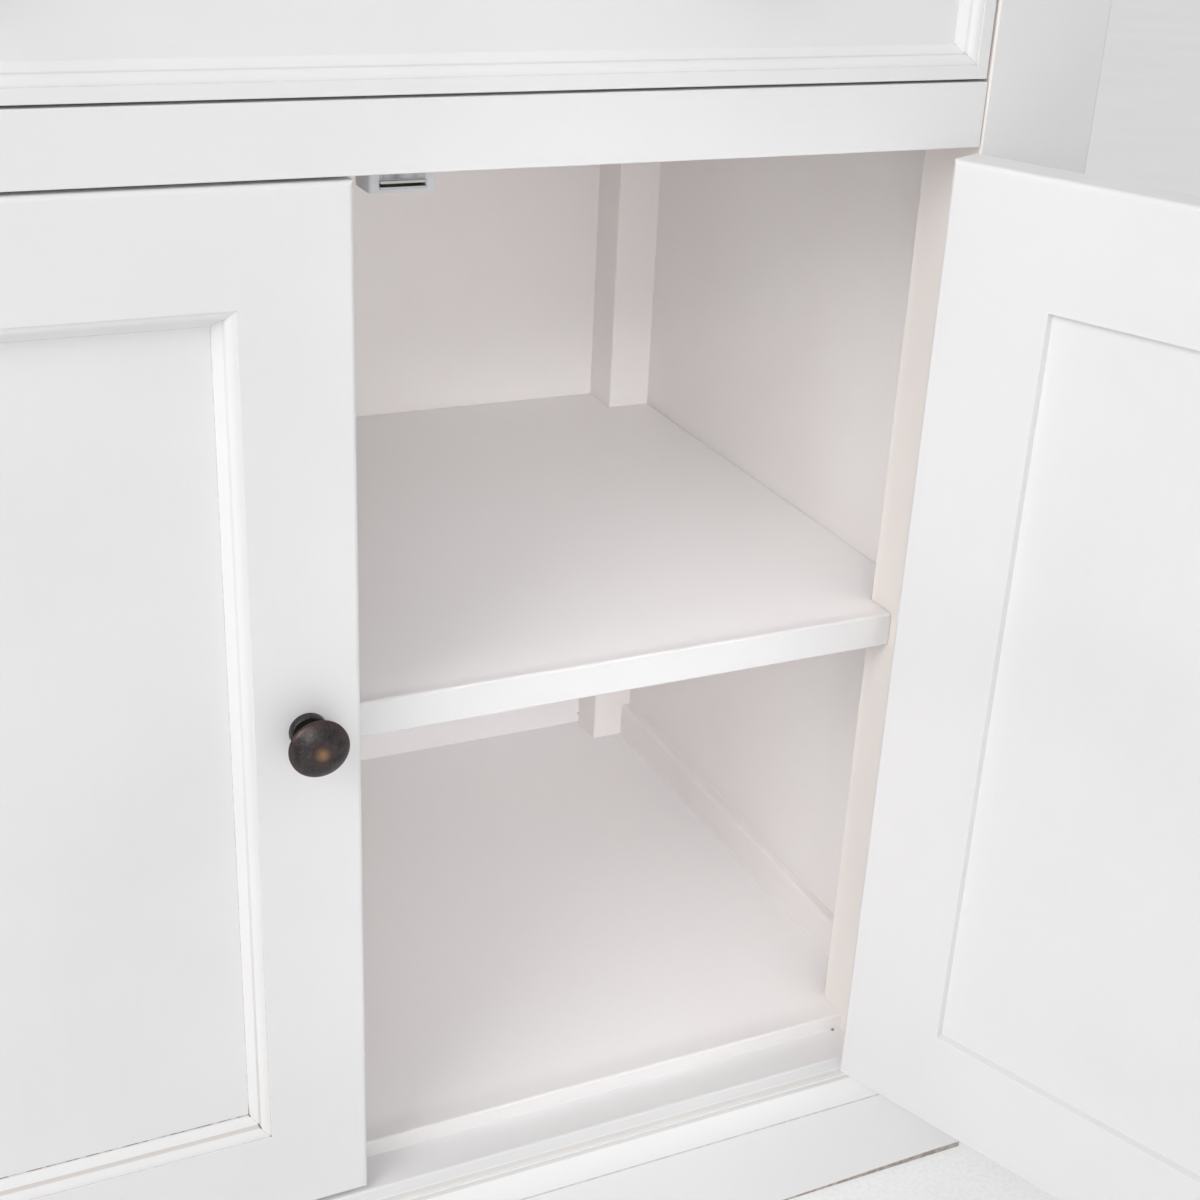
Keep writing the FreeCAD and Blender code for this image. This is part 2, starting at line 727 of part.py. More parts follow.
def hinge_leaf(name, way, knuckles):
    """A leaf with its own knuckles, of the three that share the hinge's height. The way is the side of the
    axis that the leaf lies on."""
    thirds = [f"hinge_height * {count} / 3" for count in range(4)]
    own = [
        rod(f"{name}_knuckle{count}", "hinge_barrel_radius", f"{thirds[count]} + knuckle_gap / 2",
            f"{thirds[count + 1]} - knuckle_gap / 2")
        for count in knuckles
    ]
    seat = "door_gap / 2 + hinge_leaf_recess"
    leaf = block(f"{name}_leaf", mirror(way, (f"{seat} - hinge_leaf_thickness", seat)),
                 ("0", "hinge_barrel_radius + hinge_leaf_width"), ("0", "hinge_height"))
    clear = [
        rod(f"{name}_clear{count}", "hinge_barrel_radius + hinge_swing_play", thirds[count],
            thirds[count + 1])
        for count in range(3) if count not in knuckles
    ]
    bore = rod(f"{name}_bore", "hinge_pin_radius + hinge_pin_play", "-overrun", "hinge_height + overrun")
    return pared(f"{name}_bored", fused(f"{name}_whole", pared(f"{name}_slab", leaf, *clear), *own), bore)


def door_fittings(prefix, hand, foot, head, catch_top):
    """The door's hinge leaves and the strike plate that meets its catch, in the door's own frame."""
    way = -hand
    fittings = []
    for count, start in enumerate(hinge_feet(foot, head)):
        leaf = hinge_leaf(f"{prefix}_hinge{count}", way, [1])
        bind(leaf, Placement__Base__z=start)
        fittings.append(leaf)
    strike_x = ("hinge_axis_x - catch_offset - catch_length", "hinge_axis_x - catch_offset")
    strike_z = (f"{catch_top} - catch_height", f"{catch_top} - catch_height + strike_height")
    strike_y = ("door_back", "door_back + strike_thickness")
    strike = board(f"{prefix}_strike", mirror(way, strike_x), strike_y, strike_z)
    return [*fittings, strike]


frame_leaves = []
pins = []
doors = {
    "left": (LEFT, "hinge_axis_y", "door_bottom", "door_top"),
    "right": (RIGHT, "hinge_axis_y", "door_bottom", "door_top"),
    "display_left": (LEFT, "display_hinge_y", "display_door_bottom", "display_door_top"),
    "display_right": (RIGHT, "display_hinge_y", "display_door_bottom", "display_door_top"),
}
for prefix, (hand, y, foot, head) in doors.items():
    for count, start in enumerate(hinge_feet(foot, head)):
        leaf = hinge_leaf(f"{prefix}_frame{count}", hand, [0, 2])
        frame_leaves.append(hinge_place(leaf, hand, y, start))
        pin = rod(f"{prefix}_pin{count}", "hinge_pin_radius", "0", "hinge_height")
        pins.append(hinge_place(pin, hand, y, start))
node("hinge_frame_leaves", *frame_leaves)
node("hinge_pins", *pins)

# Magnetic catches, screwed up under a rail behind each door's free edge

housings = []
plates = []
for name, face, rail in (("base", "catch_front", "divider_bottom"),
                         ("display", "display_catch_front", "display_rail_foot")):
    slot_foot = f"{rail} - catch_height + catch_slot_lift"
    slot = (slot_foot, f"{slot_foot} + catch_slot_height")
    slot_x = ("catch_offset + catch_slot_margin", "catch_offset + catch_length - catch_slot_margin")
    plate_face = f"{face} - catch_setback + strike_thickness + catch_play"
    for hand in (LEFT, RIGHT):
        catch_x = mirror(hand, ("catch_offset", "catch_offset + catch_length"))
        catch = board(f"{name}_catch_{hand + 1}", catch_x, (face, f"{face} + catch_depth"),
                      (f"{rail} - catch_height", rail))
        ease(catch, "edge_radius", lies(Z))
        cut_out(catch, mirror(hand, slot_x), (f"{face} - overrun", f"{face} + catch_slot_depth"), slot)
        housings.append(catch)
        for level, plate_z in enumerate((
            (slot[0], f"{slot[0]} + catch_plate_thickness"), (f"{slot[1]} - catch_plate_thickness", slot[1]),
        )):
            plates.append(board(f"{name}_plate_{hand + 1}_{level}", mirror(hand, slot_x),
                                (plate_face, f"{face} + catch_slot_depth"), plate_z))
node("catch_housings", *housings)
node("catch_plates", *plates)

# Panelled base doors, in the frame of their hinge axis

for prefix, hand, angle in (("left", LEFT, "0"), ("right", RIGHT, "right_door_angle")):
    way = -hand
    stand = {"x": f"{hand} * hinge_axis_x", "y": "hinge_axis_y", "angle": angle}
    through = ("door_face", "door_back")
    height = ("door_bottom", "door_top")
    rebate_y = ("door_face - overrun", "panel_back")
    stiles = []
    for name, outer, inner in (("hinge", "door_near", "door_near + stile_width"),
                               ("meeting", "door_far", "door_far - stile_width")):
        span = (outer, inner) if name == "hinge" else (inner, outer)
        stile = board(f"{prefix}_{name}_stile", mirror(way, span), through, height)
        ease(stile, "door_edge_radius", lies(Z, x=[outer]), lies(X, z=height))
        rebate = ((f"{inner} - panel_rebate", f"{inner} + overrun") if name == "hinge"
                  else (f"{inner} - overrun", f"{inner} + panel_rebate"))
        cut_out(stile, mirror(way, rebate), rebate_y,
                ("door_bottom + panel_seat", "door_top - panel_seat"))
        stiles.append(stile)
    gain = mirror(way, ("door_near - overrun", "door_near + hinge_leaf_recess"))
    hinge_gains(stiles[0], gain, ("door_face - overrun", "door_face + hinge_leaf_width"), *height)
    node(f"{prefix}_door_stiles", *stiles, **stand)

    rail_x = mirror(way, ("door_near + stile_width", "door_far - stile_width"))
    rails = []
    for name, span, edge, rebate_z in (
        ("foot", ("door_bottom", "door_bottom + stile_width"), "door_bottom",
         ("door_bottom + panel_seat", "door_bottom + stile_width + overrun")),
        ("head", ("door_top - stile_width", "door_top"), "door_top",
         ("door_top - stile_width - overrun", "door_top - panel_seat")),
    ):
        rail = board(f"{prefix}_{name}_rail", rail_x, through, span)
        ease(rail, "door_edge_radius", lies(X, z=[edge]))
        cut_out(rail, mirror(way, ("door_near + stile_width - overrun", "door_far - stile_width + overrun")),
                rebate_y, rebate_z)
        rails.append(rail)
    node(f"{prefix}_door_rails", *rails, **stand)

    panel_x = ("door_near + panel_seat", "door_far - panel_seat")
    node(f"{prefix}_door_panel", board(
        f"{prefix}_panel", mirror(way, panel_x), ("panel_front", "panel_back"),
        ("door_bottom + panel_seat", "door_top - panel_seat"),
    ), **stand)
    low = value("door_near") + value("panel_seat")
    high = value("door_far") - value("panel_seat")
    side_x = (low, high) if way == RIGHT else (-high, -low)
    ring = picture_frame(
        moulding_section(value("panel_recess")), (side_x[0], value("door_bottom") + value("panel_seat")),
        (side_x[1], value("door_top") - value("panel_seat")), value("door_face"),
    )
    node(f"{prefix}_door_moulding", shaped(f"{prefix}_moulding", ring), **stand)
    node(f"{prefix}_door_knob",
         knob(f"{prefix}_knob", f"{way} * (door_far - knob_inset)", "door_face",
              "ledge_height + knob_height"), **stand)
    node(f"{prefix}_door_fittings", *door_fittings(prefix, hand, *height, "divider_bottom"), **stand)

# Display section: posts, framed sides, back, boards and front rails

posts = []
side_rails = []
side_panels = []
display_z = ("base_height", "display_head")
display_run = ("display_front + display_post_depth", "display_rear_post_front")
panel_z = ("base_height + display_side_rail_height - groove_depth",
           "display_head - display_side_rail_height + groove_depth")
for hand, side in ((LEFT, "left"), (RIGHT, "right")):
    post = corner_post(f"display_front_post_{side}", hand, ("display_front", display_run[0]), display_z)
    side_groove(post, hand, (f"{display_run[0]} - groove_depth", f"{display_run[0]} + overrun"), panel_z)
    gain = mirror(hand, ("half_opening - overrun", "half_opening + hinge_leaf_recess"))
    hinge_gains(post, gain, ("display_front - overrun", "display_front + hinge_leaf_width"),
                "display_door_bottom", "display_door_top")
    posts.append(post)
    post = corner_post(f"display_rear_post_{side}", hand, (display_run[1], "base_depth"), display_z)
    side_groove(post, hand, (f"{display_run[1]} - overrun", f"{display_run[1]} + groove_depth"), panel_z)
    cut_out(post, mirror(hand, ("half_opening - overrun", "half_opening + groove_depth")),
            ("display_back_front", "display_back_back"), ("base_height - overrun", "display_head + overrun"))
    posts.append(post)
    width = mirror(hand, ("side_rail_inner", "half_body"))
    groove = mirror(hand, ("side_panel_inner", "side_panel_outer"))
    cut_run = (f"{display_run[0]} - overrun", f"{display_run[1]} + overrun")
    rail = board(f"display_lower_rail_{side}", width, display_run,
                 ("base_height", "base_height + display_side_rail_height"))
    cut_out(rail, groove, cut_run, (panel_z[0], "base_height + display_side_rail_height + overrun"))
    side_rails.append(rail)
    rail = board(f"display_upper_rail_{side}", width, display_run,
                 ("display_head - display_side_rail_height", "display_head"))
    cut_out(rail, groove, cut_run, ("display_head - display_side_rail_height - overrun", panel_z[1]))
    side_rails.append(rail)
    side_panels.append(board(
        f"display_panel_{side}", groove,
        (f"{display_run[0]} - groove_depth + panel_play", f"{display_run[1]} + groove_depth - panel_play"),
        (f"{panel_z[0]} + panel_play", f"{panel_z[1]} - panel_play"),
    ))
node("display_posts", *posts)
node("display_side_rails", *side_rails)
node("display_side_panels", *side_panels)
node("display_back_panel", board(
    "display_back", across("half_opening + groove_depth - panel_play"),
    ("display_back_front", "display_back_back"), display_z,
))

front_rails = [
    board(f"display_{name}_rail", across("half_opening"), ("display_front", f"display_front + {depth}"), z)
    for name, depth, z in (
        ("foot", "ledge_depth", ("base_height", "base_height + display_bottom_rail_height")),
        ("head", "divider_depth", ("display_rail_foot", "display_head")),
    )
]
node("display_front_rails", *front_rails)
inside_y = ("display_front + ledge_depth", "display_back_front")
node("display_floor", notched_board(
    "display_floor", "side_rail_inner", inside_y,
    ("display_floor_top - display_board_thickness", "display_floor_top"), display_run, "0",
))
shelf_run = (inside_y[0], f"{inside_y[1]} - shelf_play")
shelves = []
cleats = []
for name, level in (("lower", "lower_bar"), ("upper", "upper_bar")):
    under = f"{level} - display_board_thickness / 2"
    shelves.append(notched_board(
        f"display_{name}_shelf", "side_panel_inner - shelf_play", shelf_run,
        (under, f"{level} + display_board_thickness / 2"), display_run, "shelf_play",
    ))
    for hand in (LEFT, RIGHT):
        cleats.append(board(
            f"display_{name}_cleat_{hand + 1}",
            mirror(hand, ("side_panel_inner - cleat_thickness", "side_panel_inner")), display_run,
            (f"{under} - cleat_height", under),
        ))
for hand in (LEFT, RIGHT):
    cleats.append(board(
        f"cupboard_cleat_{hand + 1}",
        mirror(hand, ("side_panel_inner - cleat_thickness", "side_panel_inner")),
        ("post_depth + cleat_setback", "rear_post_front"),
        ("shelf_underside - cleat_height", "shelf_underside"),
    ))
node("display_shelves", *shelves)
node("shelf_cleats", *cleats)

top = board("display_top", across("half_body + display_top_overhang"),
            ("display_front - display_top_overhang", "base_depth"),
            ("display_head", "display_head + display_top_thickness"))
ease(top, "edge_radius", *(lies(axis, z=["display_head", "display_top_level"]) for axis in (X, Y)))
node("display_top", top)


def cornice_section():
    """A square fillet over a deep hollow that falls back to a small foot."""
    reach, foot_reach = value("cornice_projection"), value("cornice_foot")
    start = (reach, -value("cornice_fillet"))
    end = (foot_reach, foot_reach - value("cornice_height"))
    corner = (end[0], start[1])
    chord = ((start[0] + end[0]) / 2, (start[1] + end[1]) / 2)
    share = value("cornice_hollow_share")
    middle = tuple(chord[i] + (corner[i] - chord[i]) * share for i in (0, 1))
    return outline((0, 0), (reach, 0), start, (middle, end), (foot_reach, -value("cornice_height")),
                   (0, -value("cornice_height")))


node("cornice", shaped("cornice_strips", skirting(
    cornice_section(), value("display_front"), value("display_depth"), value("display_head"),
)))

# Glazed doors, in the frame of their hinge axis

for prefix, hand in (("display_left", LEFT), ("display_right", RIGHT)):
    way = -hand
    stand = {"x": f"{hand} * hinge_axis_x", "y": "display_hinge_y"}
    through = ("door_face", "door_back")
    height = ("display_door_bottom", "display_door_top")
    inner_x = ("door_near + glazed_frame_width", "door_far - glazed_frame_width")
    inner_z = ("display_door_bottom + glazed_frame_width", "display_door_top - glazed_frame_width")
    glass_x = ("door_near + glass_seat", "door_far - glass_seat")
    glass_z = ("display_door_bottom + glass_seat", "display_door_top - glass_seat")
    rebate_y = ("glass_front", "door_back + overrun")
    frame = []
    for name, span, edge, rebate in (
        ("hinge_stile", ("door_near", inner_x[0]), "door_near", (glass_x[0], f"{inner_x[0]} + overrun")),
        ("meeting_stile", (inner_x[1], "door_far"), "door_far", (f"{inner_x[1]} - overrun", glass_x[1])),
    ):
        stile = board(f"{prefix}_{name}", mirror(way, span), through, height)
        ease(stile, "door_edge_radius", lies(Z, x=[edge]), lies(X, z=height))
        cut_out(stile, mirror(way, rebate), rebate_y, glass_z)
        frame.append(stile)
    gain = mirror(way, ("door_near - overrun", "door_near + hinge_leaf_recess"))
    hinge_gains(frame[0], gain, ("door_face - overrun", "door_face + hinge_leaf_width"), *height)
    for name, span, edge, rebate in (
        ("foot_rail", (height[0], inner_z[0]), height[0], (glass_z[0], f"{inner_z[0]} + overrun")),
        ("head_rail", (inner_z[1], height[1]), height[1], (f"{inner_z[1]} - overrun", glass_z[1])),
    ):
        rail = board(f"{prefix}_{name}", mirror(way, inner_x), through, span)
        ease(rail, "door_edge_radius", lies(X, z=[edge]))
        cut_out(rail, mirror(way, (f"{inner_x[0]} - overrun", f"{inner_x[1]} + overrun")), rebate_y, rebate)
        frame.append(rail)
    node(f"{prefix}_door_frame", *frame, **stand)

    middle = "(door_near + door_far) / 2"
    bar_y = ("door_face + bar_setback", "glass_front")
    upright = (f"{middle} - bar_width / 2", f"{middle} + bar_width / 2")
    bars = [board(f"{prefix}_upright_bar", mirror(way, upright), bar_y, inner_z)]
    for name, level in (("lower", "lower_bar"), ("upper", "upper_bar")):
        for side, span in (("near", (inner_x[0], upright[0])), ("far", (upright[1], inner_x[1]))):
            bars.append(board(f"{prefix}_{name}_{side}_bar", mirror(way, span), bar_y,
                              (f"{level} - bar_width / 2", f"{level} + bar_width / 2")))
    node(f"{prefix}_glazing_bars", *bars, **stand)
    node(f"{prefix}_glass", board(
        f"{prefix}_pane", mirror(way, (f"{glass_x[0]} + panel_play", f"{glass_x[1]} - panel_play")),
        ("glass_front", "glass_back"), (f"{glass_z[0]} + panel_play", f"{glass_z[1]} - panel_play"),
    ), **stand)
    node(f"{prefix}_door_knob",
         knob(f"{prefix}_knob", f"{way} * (door_far - knob_inset)", "door_face",
              "base_height + display_knob_height"), **stand)
    node(f"{prefix}_door_fittings", *door_fittings(prefix, hand, *height, "display_rail_foot"), **stand)

# Recompute, check and write

doc.recompute()
for piece in doc.Objects:
    if "Invalid" in piece.State or "Error" in piece.State:
        raise SystemExit(f"{piece.Name} failed: {piece.State}")
for piece in nodes:
    if piece.Shape.isNull() or not piece.Shape.isValid():
        raise SystemExit(f"{piece.Label} has no valid shape")
for piece in nodes:
    piece.Shape.exportStep(f"parts/{piece.Label}.step")
print(f"{len(nodes)} pieces, {sum(len(piece.Shape.Solids) for piece in nodes)} solids")
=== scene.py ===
import json
import math

import bmesh
import bpy
from mathutils import Matrix, Vector


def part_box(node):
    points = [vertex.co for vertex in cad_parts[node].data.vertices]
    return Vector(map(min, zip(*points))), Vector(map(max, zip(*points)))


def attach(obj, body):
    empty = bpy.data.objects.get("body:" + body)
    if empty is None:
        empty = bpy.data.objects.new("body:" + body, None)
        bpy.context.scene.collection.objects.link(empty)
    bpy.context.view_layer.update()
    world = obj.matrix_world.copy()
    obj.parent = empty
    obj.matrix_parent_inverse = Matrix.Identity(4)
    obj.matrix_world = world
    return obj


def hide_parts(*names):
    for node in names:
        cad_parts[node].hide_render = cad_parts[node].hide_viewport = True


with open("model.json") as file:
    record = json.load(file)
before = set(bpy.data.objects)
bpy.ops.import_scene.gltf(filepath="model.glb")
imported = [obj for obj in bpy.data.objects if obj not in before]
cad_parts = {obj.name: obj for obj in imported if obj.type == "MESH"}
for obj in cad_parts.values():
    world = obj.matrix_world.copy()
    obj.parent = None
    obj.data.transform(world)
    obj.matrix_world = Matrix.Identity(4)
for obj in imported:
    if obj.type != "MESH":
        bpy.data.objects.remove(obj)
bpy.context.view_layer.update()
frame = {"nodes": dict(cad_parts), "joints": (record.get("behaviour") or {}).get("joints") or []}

# A white painted display hutch with dark bronze knobs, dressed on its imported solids.
# Frame: metres, +Z up and -Y out of the doors. The origin is on the floor, on the front plane of the
# carcass, half way across it.

nodes = frame["nodes"]
joints = {joint["name"]: joint for joint in frame["joints"]}
MM = 0.001

# The camera, and the size of picture that it was worked out for
PICTURE_PIXELS = 1200
FOCAL_PIXELS = 1771.4
SENSOR = 36
CAMERA_PLACE = Vector((-0.24165, -0.76847, 0.85545))
CAMERA_YAW = math.radians(25.888)
CAMERA_PITCH = math.radians(-24.788)
CAMERA_ROLL = math.radians(2.786)

# How far the right base door stands open at rest
OPEN_ANGLE = -math.radians(joints["right_door_hinge"]["range_deg"][0])
RIGHT_HINGE = Vector(joints["right_door_hinge"]["pos_m"])


class Field:
    """A shader value that takes arithmetic, in the tree of its material."""

    def __init__(self, tree, socket):
        self.tree = tree
        self.socket = socket

    def node(self, kind, inputs, output=0, **settings):
        """The result of any node, with fields linked to its inputs and plain values set on them."""
        made = self.tree.nodes.new(kind)
        for name, setting in settings.items():
            setattr(made, name, setting)
        for slot, content in inputs.items():
            if isinstance(content, Field):
                self.tree.links.new(content.socket, made.inputs[slot])
            else:
                made.inputs[slot].default_value = content
        return Field(self.tree, made.outputs[output])

    def maths(self, operation, first, second=0.0):
        return self.node("ShaderNodeMath", {0: first, 1: second}, operation=operation)

    def __add__(self, other):
        return self.maths("ADD", self, other)

    def __radd__(self, other):
        return self.maths("ADD", other, self)

    def __sub__(self, other):
        return self.maths("SUBTRACT", self, other)

    def __rsub__(self, other):
        return self.maths("SUBTRACT", other, self)

    def __mul__(self, other):
        return self.maths("MULTIPLY", self, other)

    def __truediv__(self, other):
        return self.maths("DIVIDE", self, other)

    def __abs__(self):
        return self.maths("ABSOLUTE", self)

    def least(self, other):
        return self.maths("MINIMUM", self, other)

    def most(self, other):
        return self.maths("MAXIMUM", self, other)

    def ramp(self, low, high):
        """0 below the low level and 1 above the high one, with a smooth rise between."""
        return self.node("ShaderNodeMapRange", {0: self, 1: low, 2: high}, interpolation_type="SMOOTHSTEP")

    def part(self, axis):
        """One of the three parts of a vector."""
        return self.node("ShaderNodeSeparateXYZ", {0: self}, output="XYZ".index(axis))

    def scaled(self, x, y, z):
        return self.node("ShaderNodeVectorMath", {0: self, 1: (x, y, z)}, operation="MULTIPLY")

    def noise(self, detail=2.0):
        """Soft noise about 0.5, one cell to a unit of this vector."""
        return self.node("ShaderNodeTexNoise", {"Vector": self, "Scale": 1.0, "Detail": detail})

    def mixed(self, low, high):
        """A colour between two, by this share."""
        return self.node(
            "ShaderNodeMix", {0: self, 6: low, 7: high}, output=2, data_type="RGBA", clamp_factor=True,
        )


def colour(red, green, blue):
    """A colour as it looks on a screen, from 0 to 255."""
    def linear(level):
        share = level / 255
        return share / 12.92 if share <= 0.04045 else ((share + 0.055) / 1.055) ** 2.4
    return (linear(red), linear(green), linear(blue), 1.0)


def material(name, **constants):
    """A new material, its main shader with the constants set, and its object coordinates in metres."""
    made = bpy.data.materials.new(name)
    made.use_nodes = True
    tree = made.node_tree
    shader = tree.nodes["Principled BSDF"]
    for socket, content in constants.items():
        shader.inputs[socket.replace("_", " ")].default_value = content
    place = Field(tree, tree.nodes.new("ShaderNodeTexCoord").outputs["Object"])
    return made, shader, place


def drive(shader, socket, field):
    field.tree.links.new(field.socket, shader.inputs[socket])


def emboss(shader, height, depth):
    """Raises the surface by the height field times a depth in metres."""
    drive(shader, "Normal", height.node("ShaderNodeBump", {"Height": height, "Distance": depth}))


def shut(place, turn):
    """The place that a point of the right base door has when the door is shut."""
    if not turn:
        return place
    return place.node(
        "ShaderNodeVectorRotate", {"Vector": place, "Center": RIGHT_HINGE, "Angle": -OPEN_ANGLE},
        rotation_type="Z_AXIS",
    )


# Satin white paint on wood, brushed along each board. A coat is two close colours.

OUTSIDE = colour(241, 240, 240), colour(237, 236, 236)
# Painted light: the inside and shelf coats are the same white made brighter, so the cupboard's inside looks
# more lit.
INSIDE_PAINTED_LIGHT = colour(251, 247, 245), colour(248, 243, 241)
SHELVES_PAINTED_LIGHT = colour(253, 250, 250), colour(251, 248, 248)
# Painted light: the plinth's coat is the same white made brighter, so the plinth looks more lit.
PLINTH_PAINTED_LIGHT = colour(252, 251, 251), colour(250, 249, 249)
SPECK = colour(168, 156, 146)
# The seam colour marks open joints, and is also painted shade in the mouldings' quirks.
SEAM_AND_SHADE = colour(190, 176, 165)
# Painted shade in the plinth's cove and under its fillet
COVE_AND_FILLET_SHADE = colour(212, 209, 204)
CRACK = colour(122, 92, 70)
# Painted shadow along the plinth's foot where it meets the floor
CONTACT_SHADE = colour(158, 143, 132)
# Painted light: a warmer, brighter copy of the white for the front posts' faces towards the cupboard.
INNER_FACE_PAINTED_LIGHT = colour(252, 245, 240)
BRUSH_WAVES = 700
BRUSH_LENGTH_WAVES = 11
PEEL_WAVES = 190
MOTTLE_WAVES = 6
SPECK_WAVES = 11
# Where the specks and the two colours of a coat start and end, in the texture's own measure
SPECK_EDGE = 0.003, 0.010
TINT_EDGE = 0.42, 0.78
SPECK_SHARE = 0.45
PAINT_ROUGHNESS = 0.33
# The height of the brush marks, and how many times that an open joint is deep
PAINT_RELIEF = 0.014 * MM
JOINT_RELIEFS = 2


def paint(name, along, coat=OUTSIDE, turn=False, marks=None):
    """Paint brushed along an axis, in a coat of two close colours. The marks give shares and colours of
    open joints, dark spots and painted shade."""
    made, shader, place = material(name, Specular_IOR_Level=0.42)
    place = shut(place, turn)
    waves = [BRUSH_LENGTH_WAVES if axis == along else BRUSH_WAVES for axis in "XYZ"]
    brush = place.scaled(*waves).noise(detail=3.0)
    peel = place.scaled(PEEL_WAVES, PEEL_WAVES, PEEL_WAVES).noise()
    mottle = place.scaled(MOTTLE_WAVES, MOTTLE_WAVES, MOTTLE_WAVES).noise(detail=4.0)
    reach = place.node("ShaderNodeTexVoronoi", {"Vector": place, "Scale": SPECK_WAVES})
    speck = 1 - reach.ramp(*SPECK_EDGE)
    tint = (mottle + brush * 0.12).ramp(*TINT_EDGE).mixed(*coat)
    tint = (speck * SPECK_SHARE).mixed(tint, SPECK)
    height = brush * 0.5 + peel * 0.5
    for share, stain in marks(place) if marks else []:
        tint = share.mixed(tint, stain)
        height = height - share * JOINT_RELIEFS
    drive(shader, "Base Color", tint)
    drive(shader, "Roughness", PAINT_ROUGHNESS + brush * 0.05 + mottle * 0.06)
    emboss(shader, height, PAINT_RELIEF)
    return made


# Where the paint has opened at joints, mitres and mouldings, and painted shade in quirks, cove and plinth
# foot

MOULDING_WIDTH = 9.4 * MM
MOULDING_BAND = 5.2 * MM
# How high above the moulding's foot its lines fade from their strongest at the bottom
FADE_HEIGHT = 260 * MM
JOINT_WAVES = 260
MITRE_LINE = 0.3 * MM
CRACK_LINE, CRACK_OFFSET = 0.5 * MM, 0.2 * MM


def broken(place):
    """Comes and goes along a joint."""
    return place.scaled(JOINT_WAVES, JOINT_WAVES, JOINT_WAVES).noise(detail=3.0).ramp(0.38, 0.62)


def line(distance, width):
    """1 on a line and 0 beyond its width, from the distance to it."""
    return 1 - abs(distance).ramp(0.3 * width, width)


def ring(node, turn):
    """For the mitred moulding of a recess: the distance in from its outer edge, the distance to its mitres,
    and the height above its foot, at a place."""
    low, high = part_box(node.replace("right", "left"))
    if turn:
        low.x, high.x = -high.x, -low.x

    def measure(place):
        across = (place.part("X") - low.x).least(high.x - place.part("X"))
        upright = (place.part("Z") - low.z).least(high.z - place.part("Z"))
        return across.least(upright), abs(across - upright), place.part("Z") - low.z
    return measure


def moulding_marks(node, turn=False, strength=1.0):
    """Brownish lines at the moulding's outer edge and in its quirk, with dark dots where a mitre crosses
    them.
    The outer line is the joint with the frame, partly painted shade of its step; the quirk line is painted
    shade.
    """
    measure = ring(node, turn)

    def marks(place):
        inward, mitre, height = measure(place)
        # The lines are strongest at the bottom and fade upwards
        stronger_low = (1 - height.ramp(0, FADE_HEIGHT) * 0.7) * strength
        gaps = broken(place)
        corner = (line(inward - MOULDING_BAND, 0.9 * MM) + inward.ramp(8.7 * MM, 9.3 * MM)
                  + line(inward, 0.8 * MM))
        return [
            # The joint at the outer edge, darkened partly as painted shade of the step
            (line(inward, 0.6 * MM) * (0.55 + gaps * 0.45) * stronger_low * 0.6, SEAM_AND_SHADE),
            # Painted shade in the quirk
            (line(inward - MOULDING_BAND, 0.5 * MM) * stronger_low * 0.45, SEAM_AND_SHADE),
            (line(mitre, MITRE_LINE) * gaps * stronger_low * 0.6, SEAM_AND_SHADE),
            (line(mitre, 0.9 * MM) * corner * stronger_low * stronger_low * 0.9, CRACK),
        ]
    return marks


def panel_marks(node):
    """A dark crack between a shut door's panel and the foot of the moulding round it."""
    measure = ring(node, turn=False)

    def marks(place):
        inward, _, height = measure(place)
        # The crack is strong only along the bottom side of the moulding
        stronger_low = 1 - height.ramp(MOULDING_WIDTH, 2 * MOULDING_WIDTH) * 0.8
        crack = line(inward - MOULDING_WIDTH - CRACK_OFFSET, CRACK_LINE)
        return [(crack * (0.35 + broken(place) * 0.65) * stronger_low, CRACK)]
    return marks


# Each line along the plinth: its height above the moulding's foot, its width and its share
# The first is the joint; the other two are painted shade under the fillet and in the cove.
PLINTH_LINES = (0 * MM, 0.9 * MM, 0.7), (15.7 * MM, 0.9 * MM, 0.6), (19 * MM, 1.5 * MM, 0.7)
# The painted shadow at the plinth's foot: how far from the corners it rises, how much, and where it fades
CORNER_REACH, CORNER_RISE = 170 * MM, 3 * MM
CONTACT_SHADE_EDGE = 0.6 * MM, 1.8 * MM
# Where one coat starts and ends its change to another, from the edge of the piece that it follows
FACE_EDGE = 0.3 * MM, 1.5 * MM
BACK_EDGE = 2.7 * MM, 0.7 * MM
SHELF_FACE_EDGE = 0.3 * MM, 1.3 * MM
SHELF_HALF_EDGE = 12 * MM, 13 * MM


def plinth_marks(place):
    """The joint under the plinth's moulding, painted shade in its cove and under its fillet, and a painted
    shadow along its foot at the floor, which reaches higher towards the corners."""
    low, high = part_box("plinth_moulding")
    level = place.part("Z") - low.z
    joint, step, cove = (line(level - height, width) * share for height, width, share in PLINTH_LINES)
    corner = abs(place.part("X")).ramp(high.x - CORNER_REACH, high.x)
    # Painted shadow at the floor, reaching higher towards the corners
    rise = (place.part("Z") - corner * CORNER_RISE).ramp(*CONTACT_SHADE_EDGE)
    contact_shade = (1 - rise) * (0.7 + broken(place) * 0.25)
    return [(joint * (0.6 + broken(place) * 0.3), SEAM_AND_SHADE), (step, COVE_AND_FILLET_SHADE), (cove, COVE_AND_FILLET_SHADE), (contact_shade, CONTACT_SHADE)]


def post_faces_painted_light(place):
    """Painted light: a warmer, brighter copy of the white coat on the faces of the front posts towards the
    cupboard.
    """
    edge = -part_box("front_post_left")[1].x
    return [(1 - (abs(place.part("X")) - edge).ramp(*FACE_EDGE), INNER_FACE_PAINTED_LIGHT)]


